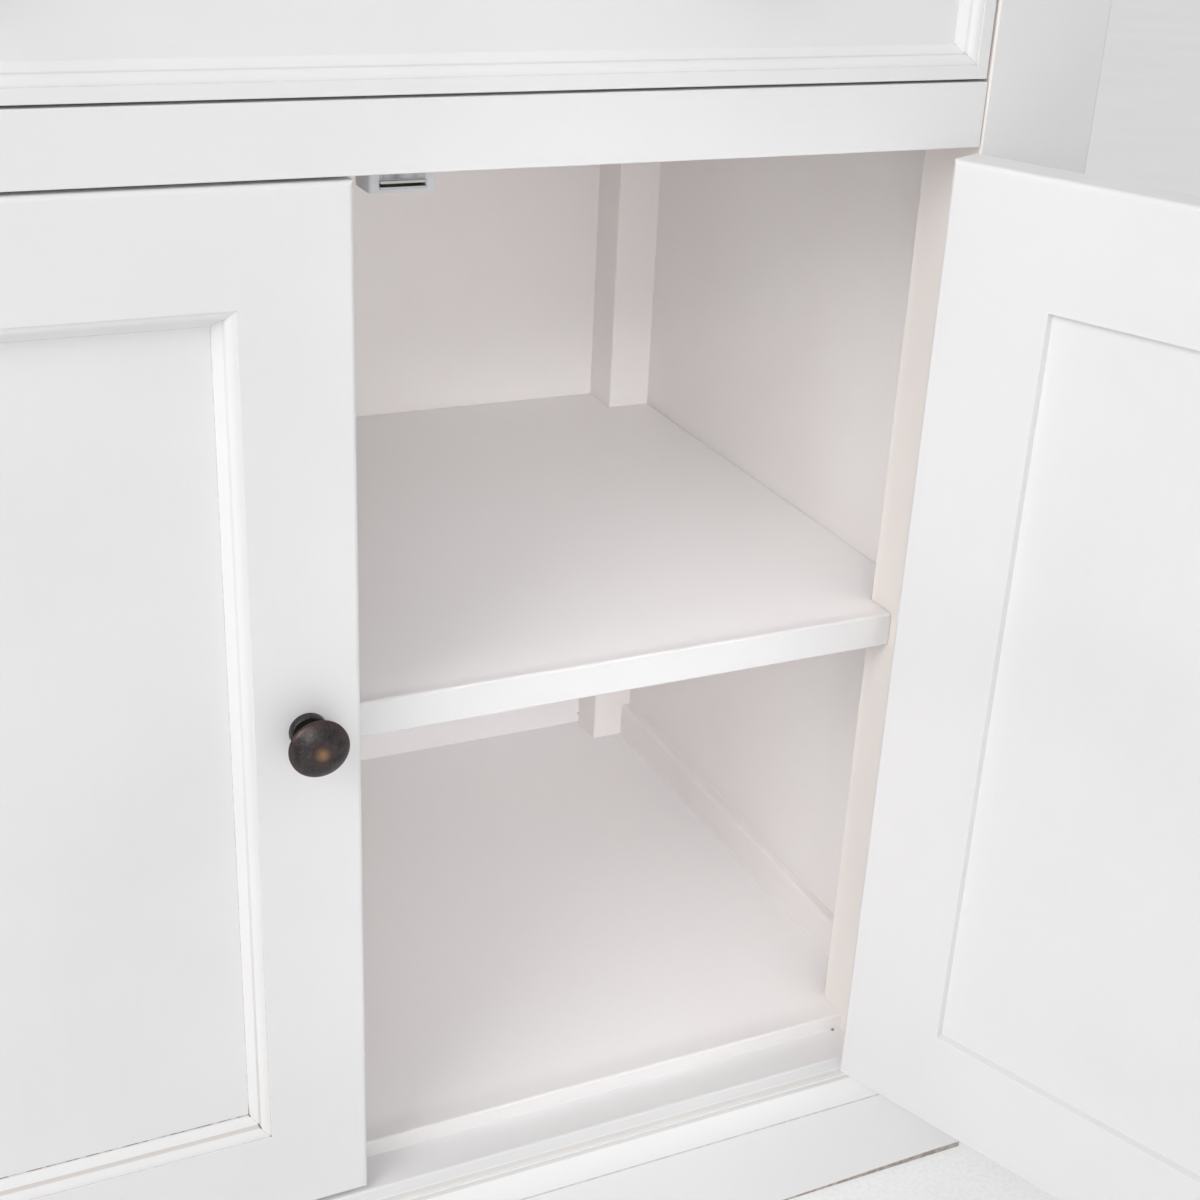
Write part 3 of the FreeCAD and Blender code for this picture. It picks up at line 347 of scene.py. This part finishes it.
def outer_faces(place):
    """The plain outside coat on the outer faces of the boards that are also seen from inside, whose inner
    faces take a brighter coat of painted light.
    """
    side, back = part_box("side_panel_right"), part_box("back_panel")[1].y
    middle = (side[0].x + side[1].x) / 2
    outside = abs(place.part("X")).ramp(middle - MM, middle + MM)
    behind = place.part("Y").ramp(*(back - depth for depth in BACK_EDGE))
    return [(outside.most(behind), OUTSIDE[0])]


def shelf_edge(place):
    """The plain outside coat on the front edge of the cupboard's shelf, which is lit straight on, where the
    rest of the shelf takes a brighter coat of painted light.
    """
    low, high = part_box("cupboard_shelf")
    level = abs(place.part("Z") - (low.z + high.z) / 2)
    ahead = 1 - (place.part("Y") - low.y).ramp(*SHELF_FACE_EDGE)
    return [(ahead * (1 - level.ramp(*SHELF_HALF_EDGE)), OUTSIDE[0])]


def corner_marks(base):
    """The mitres of strips that run round the front and sides of the carcass."""
    low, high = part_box(base)

    def marks(place):
        across = abs(place.part("X")) - high.x
        ahead = low.y - place.part("Y")
        return [(line(across - ahead, MITRE_LINE) * broken(place) * 0.6, SEAM_AND_SHADE)]
    return marks


def dots(*spots):
    """Small dark spots, each a place in millimetres and a radius."""
    def marks(place):
        made = []
        for x, y, z, radius in spots:
            reach = place.node("ShaderNodeVectorMath", {0: place, 1: (x * MM, y * MM, z * MM)}, output=1,
                               operation="DISTANCE")
            made.append(((1 - reach.ramp(0.3 * radius * MM, radius * MM)) * 0.85, CRACK))
        return made
    return marks


# Dark bronze, oiled and rubbed

BRONZE = colour(47, 44, 45), colour(70, 65, 65)
BRONZE_GRIT = colour(108, 102, 100)
BRONZE_HALO = colour(88, 72, 68)
BRONZE_RIM = colour(80, 64, 60)
BRONZE_CROWN = colour(158, 124, 92)
CLOUD_WAVES, GRIT_WAVES, TURNING_WAVES = 150, 750, 26
CROWN_EDGE = 0.9, 0.97


def bronze():
    """Brown-black metal with a reddish rim and a rubbed crown. The mesh gives each point's share of the
    head's radius, and how far it stands towards the crown."""
    made, shader, place = material("dark_bronze", Metallic=0.75, Specular_IOR_Level=0.5)
    radial = place.node("ShaderNodeAttribute", {}, output=2, attribute_name="radial_share")
    ahead = place.node("ShaderNodeAttribute", {}, output=2, attribute_name="ahead_share")
    cloud = place.scaled(CLOUD_WAVES, CLOUD_WAVES, CLOUD_WAVES).noise(detail=6.0)
    grit = place.scaled(GRIT_WAVES, GRIT_WAVES, GRIT_WAVES).noise(detail=4.0)
    swept = radial * TURNING_WAVES + cloud * 1.5
    turning = radial.node("ShaderNodeCombineXYZ", {"X": swept}).noise(detail=3.0)
    crown = ahead.ramp(*CROWN_EDGE)
    rubbed = (1 - (radial + (cloud - 0.5) * 0.30 + (turning - 0.5) * 0.12).ramp(-0.05, 0.34)) * crown
    halo = (1 - radial.ramp(0.2, 0.62)) * crown
    rim = (radial + (cloud - 0.5) * 0.25).ramp(0.80, 1.02)
    tint = (cloud * 0.7 + turning * 0.2 + grit * 0.1).ramp(0.35, 0.65).mixed(*BRONZE)
    tint = (grit.ramp(0.50, 0.72) * 0.3).mixed(tint, BRONZE_GRIT)
    tint = (halo * 0.45).mixed(tint, BRONZE_HALO)
    tint = (rim * 0.7).mixed(tint, BRONZE_RIM)
    tint = (rubbed * 0.9).mixed(tint, BRONZE_CROWN)
    drive(shader, "Base Color", tint)
    drive(shader, "Roughness", 0.25 + grit * 0.10 + cloud * 0.12)
    emboss(shader, cloud * 0.35 + grit * 0.3 + turning * 0.35, 0.04 * MM)
    return made


STEEL = colour(196, 194, 190), colour(216, 214, 210)
SCRATCH_WAVES = 2600, 2600, 60


def steel():
    """Bright plated steel with fine scratches along the leaf."""
    made, shader, place = material("bright_steel", Metallic=1.0)
    scratch = place.scaled(*SCRATCH_WAVES).noise(detail=3.0)
    drive(shader, "Base Color", scratch.mixed(*STEEL))
    drive(shader, "Roughness", 0.26 + scratch * 0.14)
    emboss(shader, scratch, 0.01 * MM)
    return made


CATCH_HEIGHT = 15 * MM
CATCH_DEPTH = 22 * MM
CATCH_PLATE = {"inner": 20.5 * MM, "outer": 43.5 * MM, "foot": 6.2 * MM, "head": 14 * MM, "depth": 0.3 * MM}
EDGE_BLUR = 0.3 * MM
PLASTIC = colour(232, 233, 236), colour(240, 241, 244)
PLATE_METAL = colour(150, 150, 154), colour(206, 206, 210)
PLASTIC_WAVES, STREAK_WAVES = 1800, (160, 0, 12)


def catch_plate(place):
    """1 on the steel face over the slot of each catch, and 0 on the rest of its housing."""
    low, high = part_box("catch_housings")
    across = abs(place.part("X"))
    width = across.ramp(CATCH_PLATE["inner"], CATCH_PLATE["inner"] + EDGE_BLUR) * (
        1 - across.ramp(CATCH_PLATE["outer"] - EDGE_BLUR, CATCH_PLATE["outer"]))
    shares = 0
    for foot, face in ((low.z, low.y), (high.z - CATCH_HEIGHT, high.y - CATCH_DEPTH)):
        level = place.part("Z") - foot
        rise = level.ramp(CATCH_PLATE["foot"], CATCH_PLATE["foot"] + EDGE_BLUR) * (
            1 - level.ramp(CATCH_PLATE["head"] - EDGE_BLUR, CATCH_PLATE["head"]))
        front = 1 - abs(place.part("Y") - face).ramp(CATCH_PLATE["depth"], 2 * CATCH_PLATE["depth"])
        shares = rise * front + shares
    return shares * width


def plastic():
    """White moulded plastic round a steel face, a little see-through at its edges."""
    made, shader, place = material("white_plastic", Subsurface_Weight=0.2, Subsurface_Scale=0.003)
    grain = place.scaled(PLASTIC_WAVES, PLASTIC_WAVES, PLASTIC_WAVES).noise(detail=2.0)
    streak = place.scaled(*STREAK_WAVES).noise(detail=3.0)
    plate = catch_plate(place)
    metal = streak.ramp(0.35, 0.65).mixed(*PLATE_METAL)
    plain = grain.mixed(*PLASTIC)
    drive(shader, "Base Color", plate.mixed(plain, metal))
    drive(shader, "Metallic", plate * 0.8)
    drive(shader, "Roughness", 0.42 + grain * 0.1 - plate * 0.12)
    emboss(shader, grain - plate * 8, 0.02 * MM)
    return made


GLASS = colour(236, 242, 240), colour(244, 248, 247)
GLASS_INDEX = 1.5
RIPPLE_WAVES = 9


def glass():
    """A clear pane: it reflects where it is seen aslant, and lets the rest through."""
    made, shader, place = material("clear_glass", Metallic=1.0, Roughness=0.02)
    made.surface_render_method = "BLENDED"
    ripple = place.scaled(RIPPLE_WAVES, RIPPLE_WAVES, RIPPLE_WAVES).noise(detail=1.0)
    drive(shader, "Base Color", ripple.mixed(*GLASS))
    gloss = place.node("ShaderNodeFresnel", {"IOR": GLASS_INDEX})
    drive(shader, "Alpha", 0.02 + gloss * 1.6)
    emboss(shader, ripple, 0.3 * MM)
    return made


def seen(tree):
    """1 for what the camera sees, straight or through gloss and glass, and 0 for what lights the object."""
    rays = tree.nodes.new("ShaderNodeLightPath").outputs
    straight, gloss, through = (Field(tree, rays[name]) for name in (
        "Is Camera Ray", "Is Glossy Ray", "Is Transmission Ray",
    ))
    return straight.most(gloss).most(through)


FLOOR = colour(228, 227, 227), colour(246, 246, 246)
FLOOR_CLOUD_WAVES, FLOOR_GRIT_WAVES = 3, 320
FLOOR_WHITE = 0.4


def floor_finish():
    """Pale matt floor, shown a little whiter than it lights."""
    made, shader, place = material("pale_floor", Specular_IOR_Level=0.3)
    cloud = place.scaled(*[FLOOR_CLOUD_WAVES] * 3).noise(detail=4.0)
    grit = place.scaled(*[FLOOR_GRIT_WAVES] * 3).noise(detail=4.0)
    grain = (cloud * 0.3 + grit * 0.7).ramp(0.3, 0.7)
    drive(shader, "Base Color", grain.mixed(*FLOOR))
    drive(shader, "Roughness", 0.55 + grit * 0.15)
    emboss(shader, grit, 0.1 * MM)
    white = place.node("ShaderNodeEmission", {"Strength": 1.0})
    share = seen(place.tree) * FLOOR_WHITE
    shown = share.node("ShaderNodeMixShader", {0: share, 1: Field(place.tree, shader.outputs[0]), 2: white})
    place.tree.links.new(shown.socket, place.tree.nodes["Material Output"].inputs["Surface"])
    return made


def dress(material_made, *names):
    for name in names:
        slots = nodes[name].data.materials
        slots.clear()
        slots.append(material_made)


UPRIGHT = """left_door_stiles display_posts display_side_panels
    display_left_door_frame display_right_door_frame side_panel_left"""
LEVEL = """bottom_rail divider_rail top_rail worktop left_door_rails drawer_front
    display_front_rails display_top display_left_glazing_bars display_right_glazing_bars"""
INNER_UPRIGHT = "rear_post_left rear_post_right side_panel_right back_panel display_back_panel"
INNER_LEVEL = """back_rails floor_board cupboard_shelf drawer_back drawer_bottom display_floor
    display_shelves"""
INNER_DEEP = "side_rails drawer_sides drawer_runners shelf_cleats display_side_rails"

# Small dark spots on the ledge, the floor board and the open door's lip: place in millimetres, and radius
LEDGE_SPOT, FRONT_SPOT, BACK_SPOT = (334, 26.5, 98.5, 1.6), (334, 27, 98.5, 1.6), (340, 462, 117.5, 1.4)
LIP_SPOT = (273, 23.5, 166.5, 1.5)

dress(paint("paint_upright", "Z"), *UPRIGHT.split())
dress(paint("paint_front_posts_painted_light", "Z", marks=post_faces_painted_light), "front_post_left", "front_post_right")
dress(paint("paint_level", "X", marks=dots(LEDGE_SPOT)), *LEVEL.split())
# The inner boards take the brighter inside and shelf coats, which are painted light.
dress(paint("paint_inner_upright_painted_light", "Z", INSIDE_PAINTED_LIGHT, marks=outer_faces), *INNER_UPRIGHT.split())
dress(paint("paint_inner_level_painted_light", "X", SHELVES_PAINTED_LIGHT, marks=lambda place: (
    shelf_edge(place) + dots(FRONT_SPOT, BACK_SPOT)(place))), *INNER_LEVEL.split())
dress(paint("paint_inner_deep_painted_light", "Y", INSIDE_PAINTED_LIGHT, marks=outer_faces), *INNER_DEEP.split())
dress(paint("paint_upright_turned", "Z", turn=True, marks=dots(LIP_SPOT)), "right_door_stiles",
      "right_door_panel")
dress(paint("paint_level_turned", "X", turn=True, marks=dots(LIP_SPOT)), "right_door_rails")
dress(paint("paint_left_panel", "Z", marks=panel_marks("left_door_moulding")), "left_door_panel")
dress(paint("paint_left_moulding", "Z", marks=moulding_marks("left_door_moulding")), "left_door_moulding")
dress(paint("paint_right_moulding", "Z", turn=True, marks=moulding_marks("right_door_moulding", turn=True)),
      "right_door_moulding")
dress(paint("paint_drawer_moulding", "X", marks=moulding_marks("drawer_moulding", strength=0.5)),
      "drawer_moulding")
dress(paint("paint_plinth_painted_light_and_shade", "X", PLINTH_PAINTED_LIGHT, marks=lambda place: (
    plinth_marks(place) + corner_marks("front_post_right")(place))), "plinth_moulding", "plinth_boards")
dress(paint("paint_cornice", "X", marks=corner_marks("display_posts")), "cornice")
HINGE_METAL = steel()
dress(HINGE_METAL, "hinge_frame_leaves", "hinge_pins", "catch_plates", "left_door_fittings",
      "right_door_fittings", "display_left_door_fittings", "display_right_door_fittings")
dress(plastic(), "catch_housings")
dress(glass(), "display_left_glass", "display_right_glass")
KNOB_METAL = bronze()

# Knobs, each turned in one piece: a flat rose, a neck and a domed head with a thin rim

KNOB_REACH = 27 * MM
KNOB_RADIUS = 15.7 * MM
RIM_BACK, RIM_FACE = 19.2 * MM, 21 * MM
RIM_EDGE = 0.35 * MM
ROSE_RADIUS, ROSE_THICKNESS, ROSE_EDGE = 10 * MM, 4.5 * MM, 1.2 * MM
NECK_RADIUS = 5.5 * MM
HOLLOW_REACH = 12.5 * MM
HOLLOW_PULL = (17.3 * MM, 8.2 * MM)
TURNS = 96
ROSE_STEPS, NECK_STEPS, DOME_STEPS = 6, 8, 16
SHARP_ANGLE = math.radians(32)


def knob_outline():
    """Points down one side of the knob, each a reach out of the face and a radius."""
    points = [(0.0, ROSE_RADIUS)]
    for step in range(ROSE_STEPS + 1):
        angle = math.radians(90 * (1 - step / ROSE_STEPS))
        points.append((ROSE_THICKNESS - ROSE_EDGE * (1 - math.cos(angle)),
                       ROSE_RADIUS - ROSE_EDGE * (1 - math.sin(angle))))
    points += [(ROSE_THICKNESS, NECK_RADIUS), (HOLLOW_REACH, NECK_RADIUS)]
    for step in range(1, NECK_STEPS + 1):
        share = step / NECK_STEPS
        points.append(tuple(
            start * (1 - share) ** 2 + 2 * pull * share * (1 - share) + end * share ** 2
            for start, pull, end in zip((HOLLOW_REACH, NECK_RADIUS), HOLLOW_PULL,
                                        (RIM_BACK, KNOB_RADIUS - RIM_EDGE))
        ))
    points += [(RIM_BACK + RIM_EDGE, KNOB_RADIUS), (RIM_FACE - RIM_EDGE, KNOB_RADIUS)]
    rise = KNOB_REACH - RIM_FACE
    dome = (KNOB_RADIUS ** 2 + rise ** 2) / (2 * rise)
    widest = math.asin((KNOB_RADIUS - RIM_EDGE) / dome)
    for step in range(DOME_STEPS):
        angle = widest * (1 - step / DOME_STEPS)
        points.append((KNOB_REACH - dome * (1 - math.cos(angle)), dome * math.sin(angle)))
    return points


def turned_knobs(node, body, middles, face):
    """Knobs on one body, whose middles are X and Z, standing out of a face towards -Y."""
    outline = knob_outline()
    verts, faces, radial, ahead = [], [], [], []

    def point(x, reach, z, share):
        verts.append((x, face - reach, z))
        radial.append(share)
        ahead.append(reach / KNOB_REACH)

    for x, z in middles:
        first = len(verts)
        for reach, radius in outline:
            for turn in range(TURNS):
                angle = 2 * math.pi * turn / TURNS
                across, up = radius * math.cos(angle), radius * math.sin(angle)
                point(x + across, reach, z + up, radius / KNOB_RADIUS)
        for row in range(len(outline) - 1):
            for turn in range(TURNS):
                here, beside = first + row * TURNS + turn, first + row * TURNS + (turn + 1) % TURNS
                faces.append((here, beside, beside + TURNS, here + TURNS))
        point(x, 0, z, 0)
        point(x, KNOB_REACH, z, 0)
        foot, crown = len(verts) - 2, len(verts) - 1
        last = first + (len(outline) - 1) * TURNS
        for turn in range(TURNS):
            beside = (turn + 1) % TURNS
            faces.append((first + beside, first + turn, foot))
            faces.append((last + turn, last + beside, crown))
    mesh = bpy.data.meshes.new(f"{node}_turned")
    mesh.from_pydata(verts, [], faces)
    for name, shares in (("radial_share", radial), ("ahead_share", ahead)):
        mesh.attributes.new(name, "FLOAT", "POINT").data.foreach_set("value", shares)
    mesh.materials.append(KNOB_METAL)
    finish_mesh(mesh)
    if node == "right_door_knob":
        mesh.transform(door_turn())
    knob = bpy.data.objects.new(f"{node}_turned", mesh)
    bpy.context.scene.collection.objects.link(knob)
    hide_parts(node)
    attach(knob, body)


def finish_mesh(mesh):
    """Turns every face outwards and shades the rounds smoothly, up to the sharp edges."""
    shell = bmesh.new()
    shell.from_mesh(mesh)
    bmesh.ops.recalc_face_normals(shell, faces=shell.faces)
    shell.to_mesh(mesh)
    shell.free()
    mesh.polygons.foreach_set("use_smooth", [True] * len(mesh.polygons))
    mesh.set_sharp_from_angle(angle=SHARP_ANGLE)


def door_turn():
    """Carries a point of the right base door from its shut place to the place where it stands at rest."""
    return (Matrix.Translation(RIGHT_HINGE) @ Matrix.Rotation(OPEN_ANGLE, 4, "Z")
            @ Matrix.Translation(-RIGHT_HINGE))


for prefix in ("left", "right", "display_left", "display_right"):
    low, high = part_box(f"{prefix}_door_knob".replace("right", "left"))
    hand = -1 if "right" in prefix else 1
    turned_knobs(f"{prefix}_door_knob", f"{prefix}_door",
                 [(hand * (low.x + high.x) / 2, (low.z + high.z) / 2)], high.y)
low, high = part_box("drawer_knobs")
turned_knobs("drawer_knobs", "drawer",
             [(x, (low.z + high.z) / 2) for x in (low.x + KNOB_RADIUS, high.x - KNOB_RADIUS)], high.y)

# Countersunk screws of the hinge leaves and the strike plates

SCREW_RADIUS = 2.6 * MM
SCREW_PROUD = 0.18 * MM
SCREW_SUNK = 0.9 * MM
SLOT_WIDTH, SLOT_LENGTH, SLOT_DEPTH = 0.7 * MM, 3.2 * MM, 0.7 * MM
SCREW_SIDES = 32
LEAF_HEIGHT = 51 * MM
LEAF_INSET = 70 * MM
LEAF_STEPS = (8 * MM, 25.5 * MM, 43 * MM)
LEAF_REACH = (12 * MM, 17 * MM, 12 * MM)
FRAME_FACE, DOOR_FACE = 0.4 * MM, -0.4 * MM
STRIKE = {"inset": 32 * MM, "drop": 9 * MM, "level": 27.2 * MM, "clearance": 2 * MM}
HINGE_AHEAD = 3 * MM


def screw_tree(screw_material):
    """Sets a cross-headed screw on each point, facing along the point's own direction."""
    tree = bpy.data.node_groups.new("cross_headed_screws", "GeometryNodeTree")
    for name, kind, flow in (
        ("Geometry", "Geometry", "INPUT"), ("Radius", "Float", "INPUT"), ("Proud", "Float", "INPUT"),
        ("Geometry", "Geometry", "OUTPUT"),
    ):
        tree.interface.new_socket(name, in_out=flow, socket_type=f"NodeSocket{kind}")
    field = Field(tree, tree.nodes.new("NodeGroupInput").outputs["Geometry"])
    given = field.socket.node.outputs
    radius, proud = Field(tree, given["Radius"]), Field(tree, given["Proud"])
    depth = proud + SCREW_SUNK
    sizes = {"Vertices": SCREW_SIDES, "Radius": radius, "Depth": depth}
    head = field.node("GeometryNodeMeshCylinder", sizes)
    bars = [field.node("GeometryNodeMeshCube", {"Size": size}) for size in (
        (SLOT_LENGTH, SLOT_WIDTH, SLOT_DEPTH * 2), (SLOT_WIDTH, SLOT_LENGTH, SLOT_DEPTH * 2),
    )]
    cross = bars[0].node("GeometryNodeMeshBoolean", {"Mesh 2": bars[0]}, operation="UNION", solver="EXACT")
    tree.links.new(bars[1].socket, cross.socket.node.inputs["Mesh 2"])
    lift = field.node("ShaderNodeCombineXYZ", {"Z": depth / 2})
    cross = cross.node("GeometryNodeTransform", {"Geometry": cross, "Translation": lift})
    head = head.node("GeometryNodeMeshBoolean", {"Mesh 1": head, "Mesh 2": cross}, operation="DIFFERENCE",
                     solver="EXACT")
    sink = field.node("ShaderNodeCombineXYZ", {"Z": proud - depth / 2})
    head = head.node("GeometryNodeTransform", {"Geometry": head, "Translation": sink})
    facing = field.node("GeometryNodeInputNamedAttribute", {"Name": "facing"}, data_type="FLOAT_VECTOR")
    turn = field.node("FunctionNodeAlignRotationToVector", {"Vector": facing}, axis="Z")
    made = field.node("GeometryNodeInstanceOnPoints", {"Points": field, "Instance": head, "Rotation": turn})
    made = made.node("GeometryNodeRealizeInstances", {"Geometry": made})
    made = made.node("GeometryNodeSetMaterial", {"Geometry": made, "Material": screw_material})
    tree.links.new(made.socket, tree.nodes.new("NodeGroupOutput").inputs["Geometry"])
    return tree


def screws(name, body, spots):
    """The screws of one body. Each spot is a place and the way that its head faces."""
    mesh = bpy.data.meshes.new(name)
    mesh.from_pydata([place for place, facing in spots], [], [])
    facings = mesh.attributes.new("facing", "FLOAT_VECTOR", "POINT")
    facings.data.foreach_set("vector", [part for place, facing in spots for part in facing])
    points = bpy.data.objects.new(name, mesh)
    bpy.context.scene.collection.objects.link(points)
    maker = points.modifiers.new("screws", "NODES")
    maker.node_group = SCREW_TREE
    for item in SCREW_TREE.interface.items_tree:
        if item.in_out == "INPUT" and item.name in ("Radius", "Proud"):
            maker[item.identifier] = SCREW_RADIUS if item.name == "Radius" else SCREW_PROUD
    bpy.context.view_layer.update()
    solid = bpy.data.meshes.new_from_object(points.evaluated_get(bpy.context.evaluated_depsgraph_get()))
    points.modifiers.clear()
    points.data = solid
    solid.name = name
    if body == "right_door":
        solid.transform(door_turn())
    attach(points, body)


SCREW_TREE = screw_tree(HINGE_METAL)
frame_spots = []
for prefix in ("left", "right", "display_left", "display_right"):
    hand = 1 if "right" in prefix else -1
    hinge = joints[f"{prefix}_hinge" if prefix.startswith("display") else f"{prefix}_door_hinge"]["pos_m"]
    stiles = f"{prefix}_door_stiles"
    low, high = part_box(stiles if stiles in nodes else f"{prefix}_door_frame")
    spots = []
    for foot in (low.z + LEAF_INSET, high.z - LEAF_INSET - LEAF_HEIGHT):
        for step, reach in zip(LEAF_STEPS, LEAF_REACH):
            y, z = hinge[1] + reach, foot + step
            frame_spots.append(((hinge[0] + hand * FRAME_FACE, y, z), (-hand, 0, 0)))
            spots.append(((hinge[0] + hand * DOOR_FACE, y, z), (hand, 0, 0)))
    back, head = hinge[1] + HINGE_AHEAD + STRIKE["level"], high.z + STRIKE["clearance"] - STRIKE["drop"]
    spots.append(((hand * STRIKE["inset"], back, head), (0, 1, 0)))
    screws(f"{prefix}_door_screws", f"{prefix}_door", spots)
screws("hinge_frame_screws", "carcass", frame_spots)

# Floor, lights and camera

FLOOR_HALF = 12
ROOM_TINT = (0.98, 0.99, 1.0, 1.0)
ROOM_LEVEL, SHOWN_LEVEL = 0.51, 1.0
SOFTBOX_SIZE, SOFTBOX_TARGET = (1.3, 1.3), (0.15, 0.05, 0.5)
SHEET_INSET = 8 * MM
SHEET_FOOT, SHEET_HEAD = 4 * MM, 20 * MM
SHEET_BEHIND = 8 * MM


def floor():
    mesh = bpy.data.meshes.new("floor")
    corners = [(-1, -1), (1, -1), (1, 1), (-1, 1)]
    mesh.from_pydata([(x * FLOOR_HALF, y * FLOOR_HALF, 0) for x, y in corners], [], [(0, 1, 2, 3)])
    mesh.materials.append(floor_finish())
    made = bpy.data.objects.new("floor", mesh)
    bpy.context.scene.collection.objects.link(made)


def softbox(name, place, target, size, power, beam=math.pi):
    """A lamp behind a rectangle of cloth. A narrow beam stands for a grid in front of it."""
    lamp = bpy.data.lights.new(name, "AREA")
    lamp.shape = "RECTANGLE"
    lamp.size, lamp.size_y = size
    lamp.spread = beam
    lamp.energy = power
    made = bpy.data.objects.new(name, lamp)
    made.location = place
    made.rotation_euler = (Vector(target) - Vector(place)).to_track_quat("-Z", "Y").to_euler()
    made.visible_camera = False
    bpy.context.scene.collection.objects.link(made)


def inner_light(power, beam):
    """A sheet of light across the cupboard's opening, behind the doors and the shelf's edge, that shines
    inwards only."""
    shelf, floor_box, rail = (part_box(name) for name in ("cupboard_shelf", "floor_board", "divider_rail"))
    half = -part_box("front_post_left")[1].x - SHEET_INSET
    foot, head = floor_box[1].z + SHEET_FOOT, rail[0].z - SHEET_HEAD
    middle = Vector((0, shelf[0].y + SHEET_BEHIND, (foot + head) / 2))
    softbox("inner_fill", middle, middle + Vector((0, 1, 0)), (2 * half, head - foot), power, beam)


def room_light(level, white):
    """Even light from all round, and a white background for the camera."""
    world = bpy.data.worlds.new("room")
    bpy.context.scene.world = world
    world.use_nodes = True
    tree = world.node_tree
    light = tree.nodes["Background"]
    light.inputs["Color"].default_value = ROOM_TINT
    light.inputs["Strength"].default_value = level
    share = seen(tree)
    shown = share.node("ShaderNodeBackground", {"Strength": white})
    mix = share.node("ShaderNodeMixShader", {0: share, 1: Field(tree, light.outputs[0]), 2: shown})
    tree.links.new(mix.socket, tree.nodes["World Output"].inputs["Surface"])


def camera():
    """The view of the photograph, from its yaw towards +X, its pitch and its roll."""
    ahead = Vector((
        math.sin(CAMERA_YAW) * math.cos(CAMERA_PITCH), math.cos(CAMERA_YAW) * math.cos(CAMERA_PITCH),
        math.sin(CAMERA_PITCH),
    ))
    level = Vector((math.cos(CAMERA_YAW), -math.sin(CAMERA_YAW), 0))
    upright = level.cross(ahead)
    right = level * math.cos(CAMERA_ROLL) + upright * math.sin(CAMERA_ROLL)
    up = upright * math.cos(CAMERA_ROLL) - level * math.sin(CAMERA_ROLL)
    lens = bpy.data.cameras.new("camera")
    lens.sensor_width = SENSOR
    lens.lens = FOCAL_PIXELS / PICTURE_PIXELS * SENSOR
    lens.clip_start = 0.05
    made = bpy.data.objects.new("camera", lens)
    made.matrix_world = Matrix.Translation(CAMERA_PLACE) @ Matrix((right, up, -ahead)).transposed().to_4x4()
    bpy.context.scene.collection.objects.link(made)
    bpy.context.scene.camera = made


floor()
room_light(ROOM_LEVEL, SHOWN_LEVEL)
softbox("key", (-1.76, -1.05, 1.88), SOFTBOX_TARGET, SOFTBOX_SIZE, power=26.5)
softbox("front", (-0.705, -2.299, 1.217), SOFTBOX_TARGET, SOFTBOX_SIZE, power=8.5)
softbox("middle_fill", (-0.313, -1.328, 1.171), (0.17, 0, 0.42), (0.28, 0.5), power=0.11,
        beam=math.radians(12))
inner_light(power=0.52, beam=math.radians(120))
camera()
bpy.context.scene.view_settings.view_transform = "Standard"
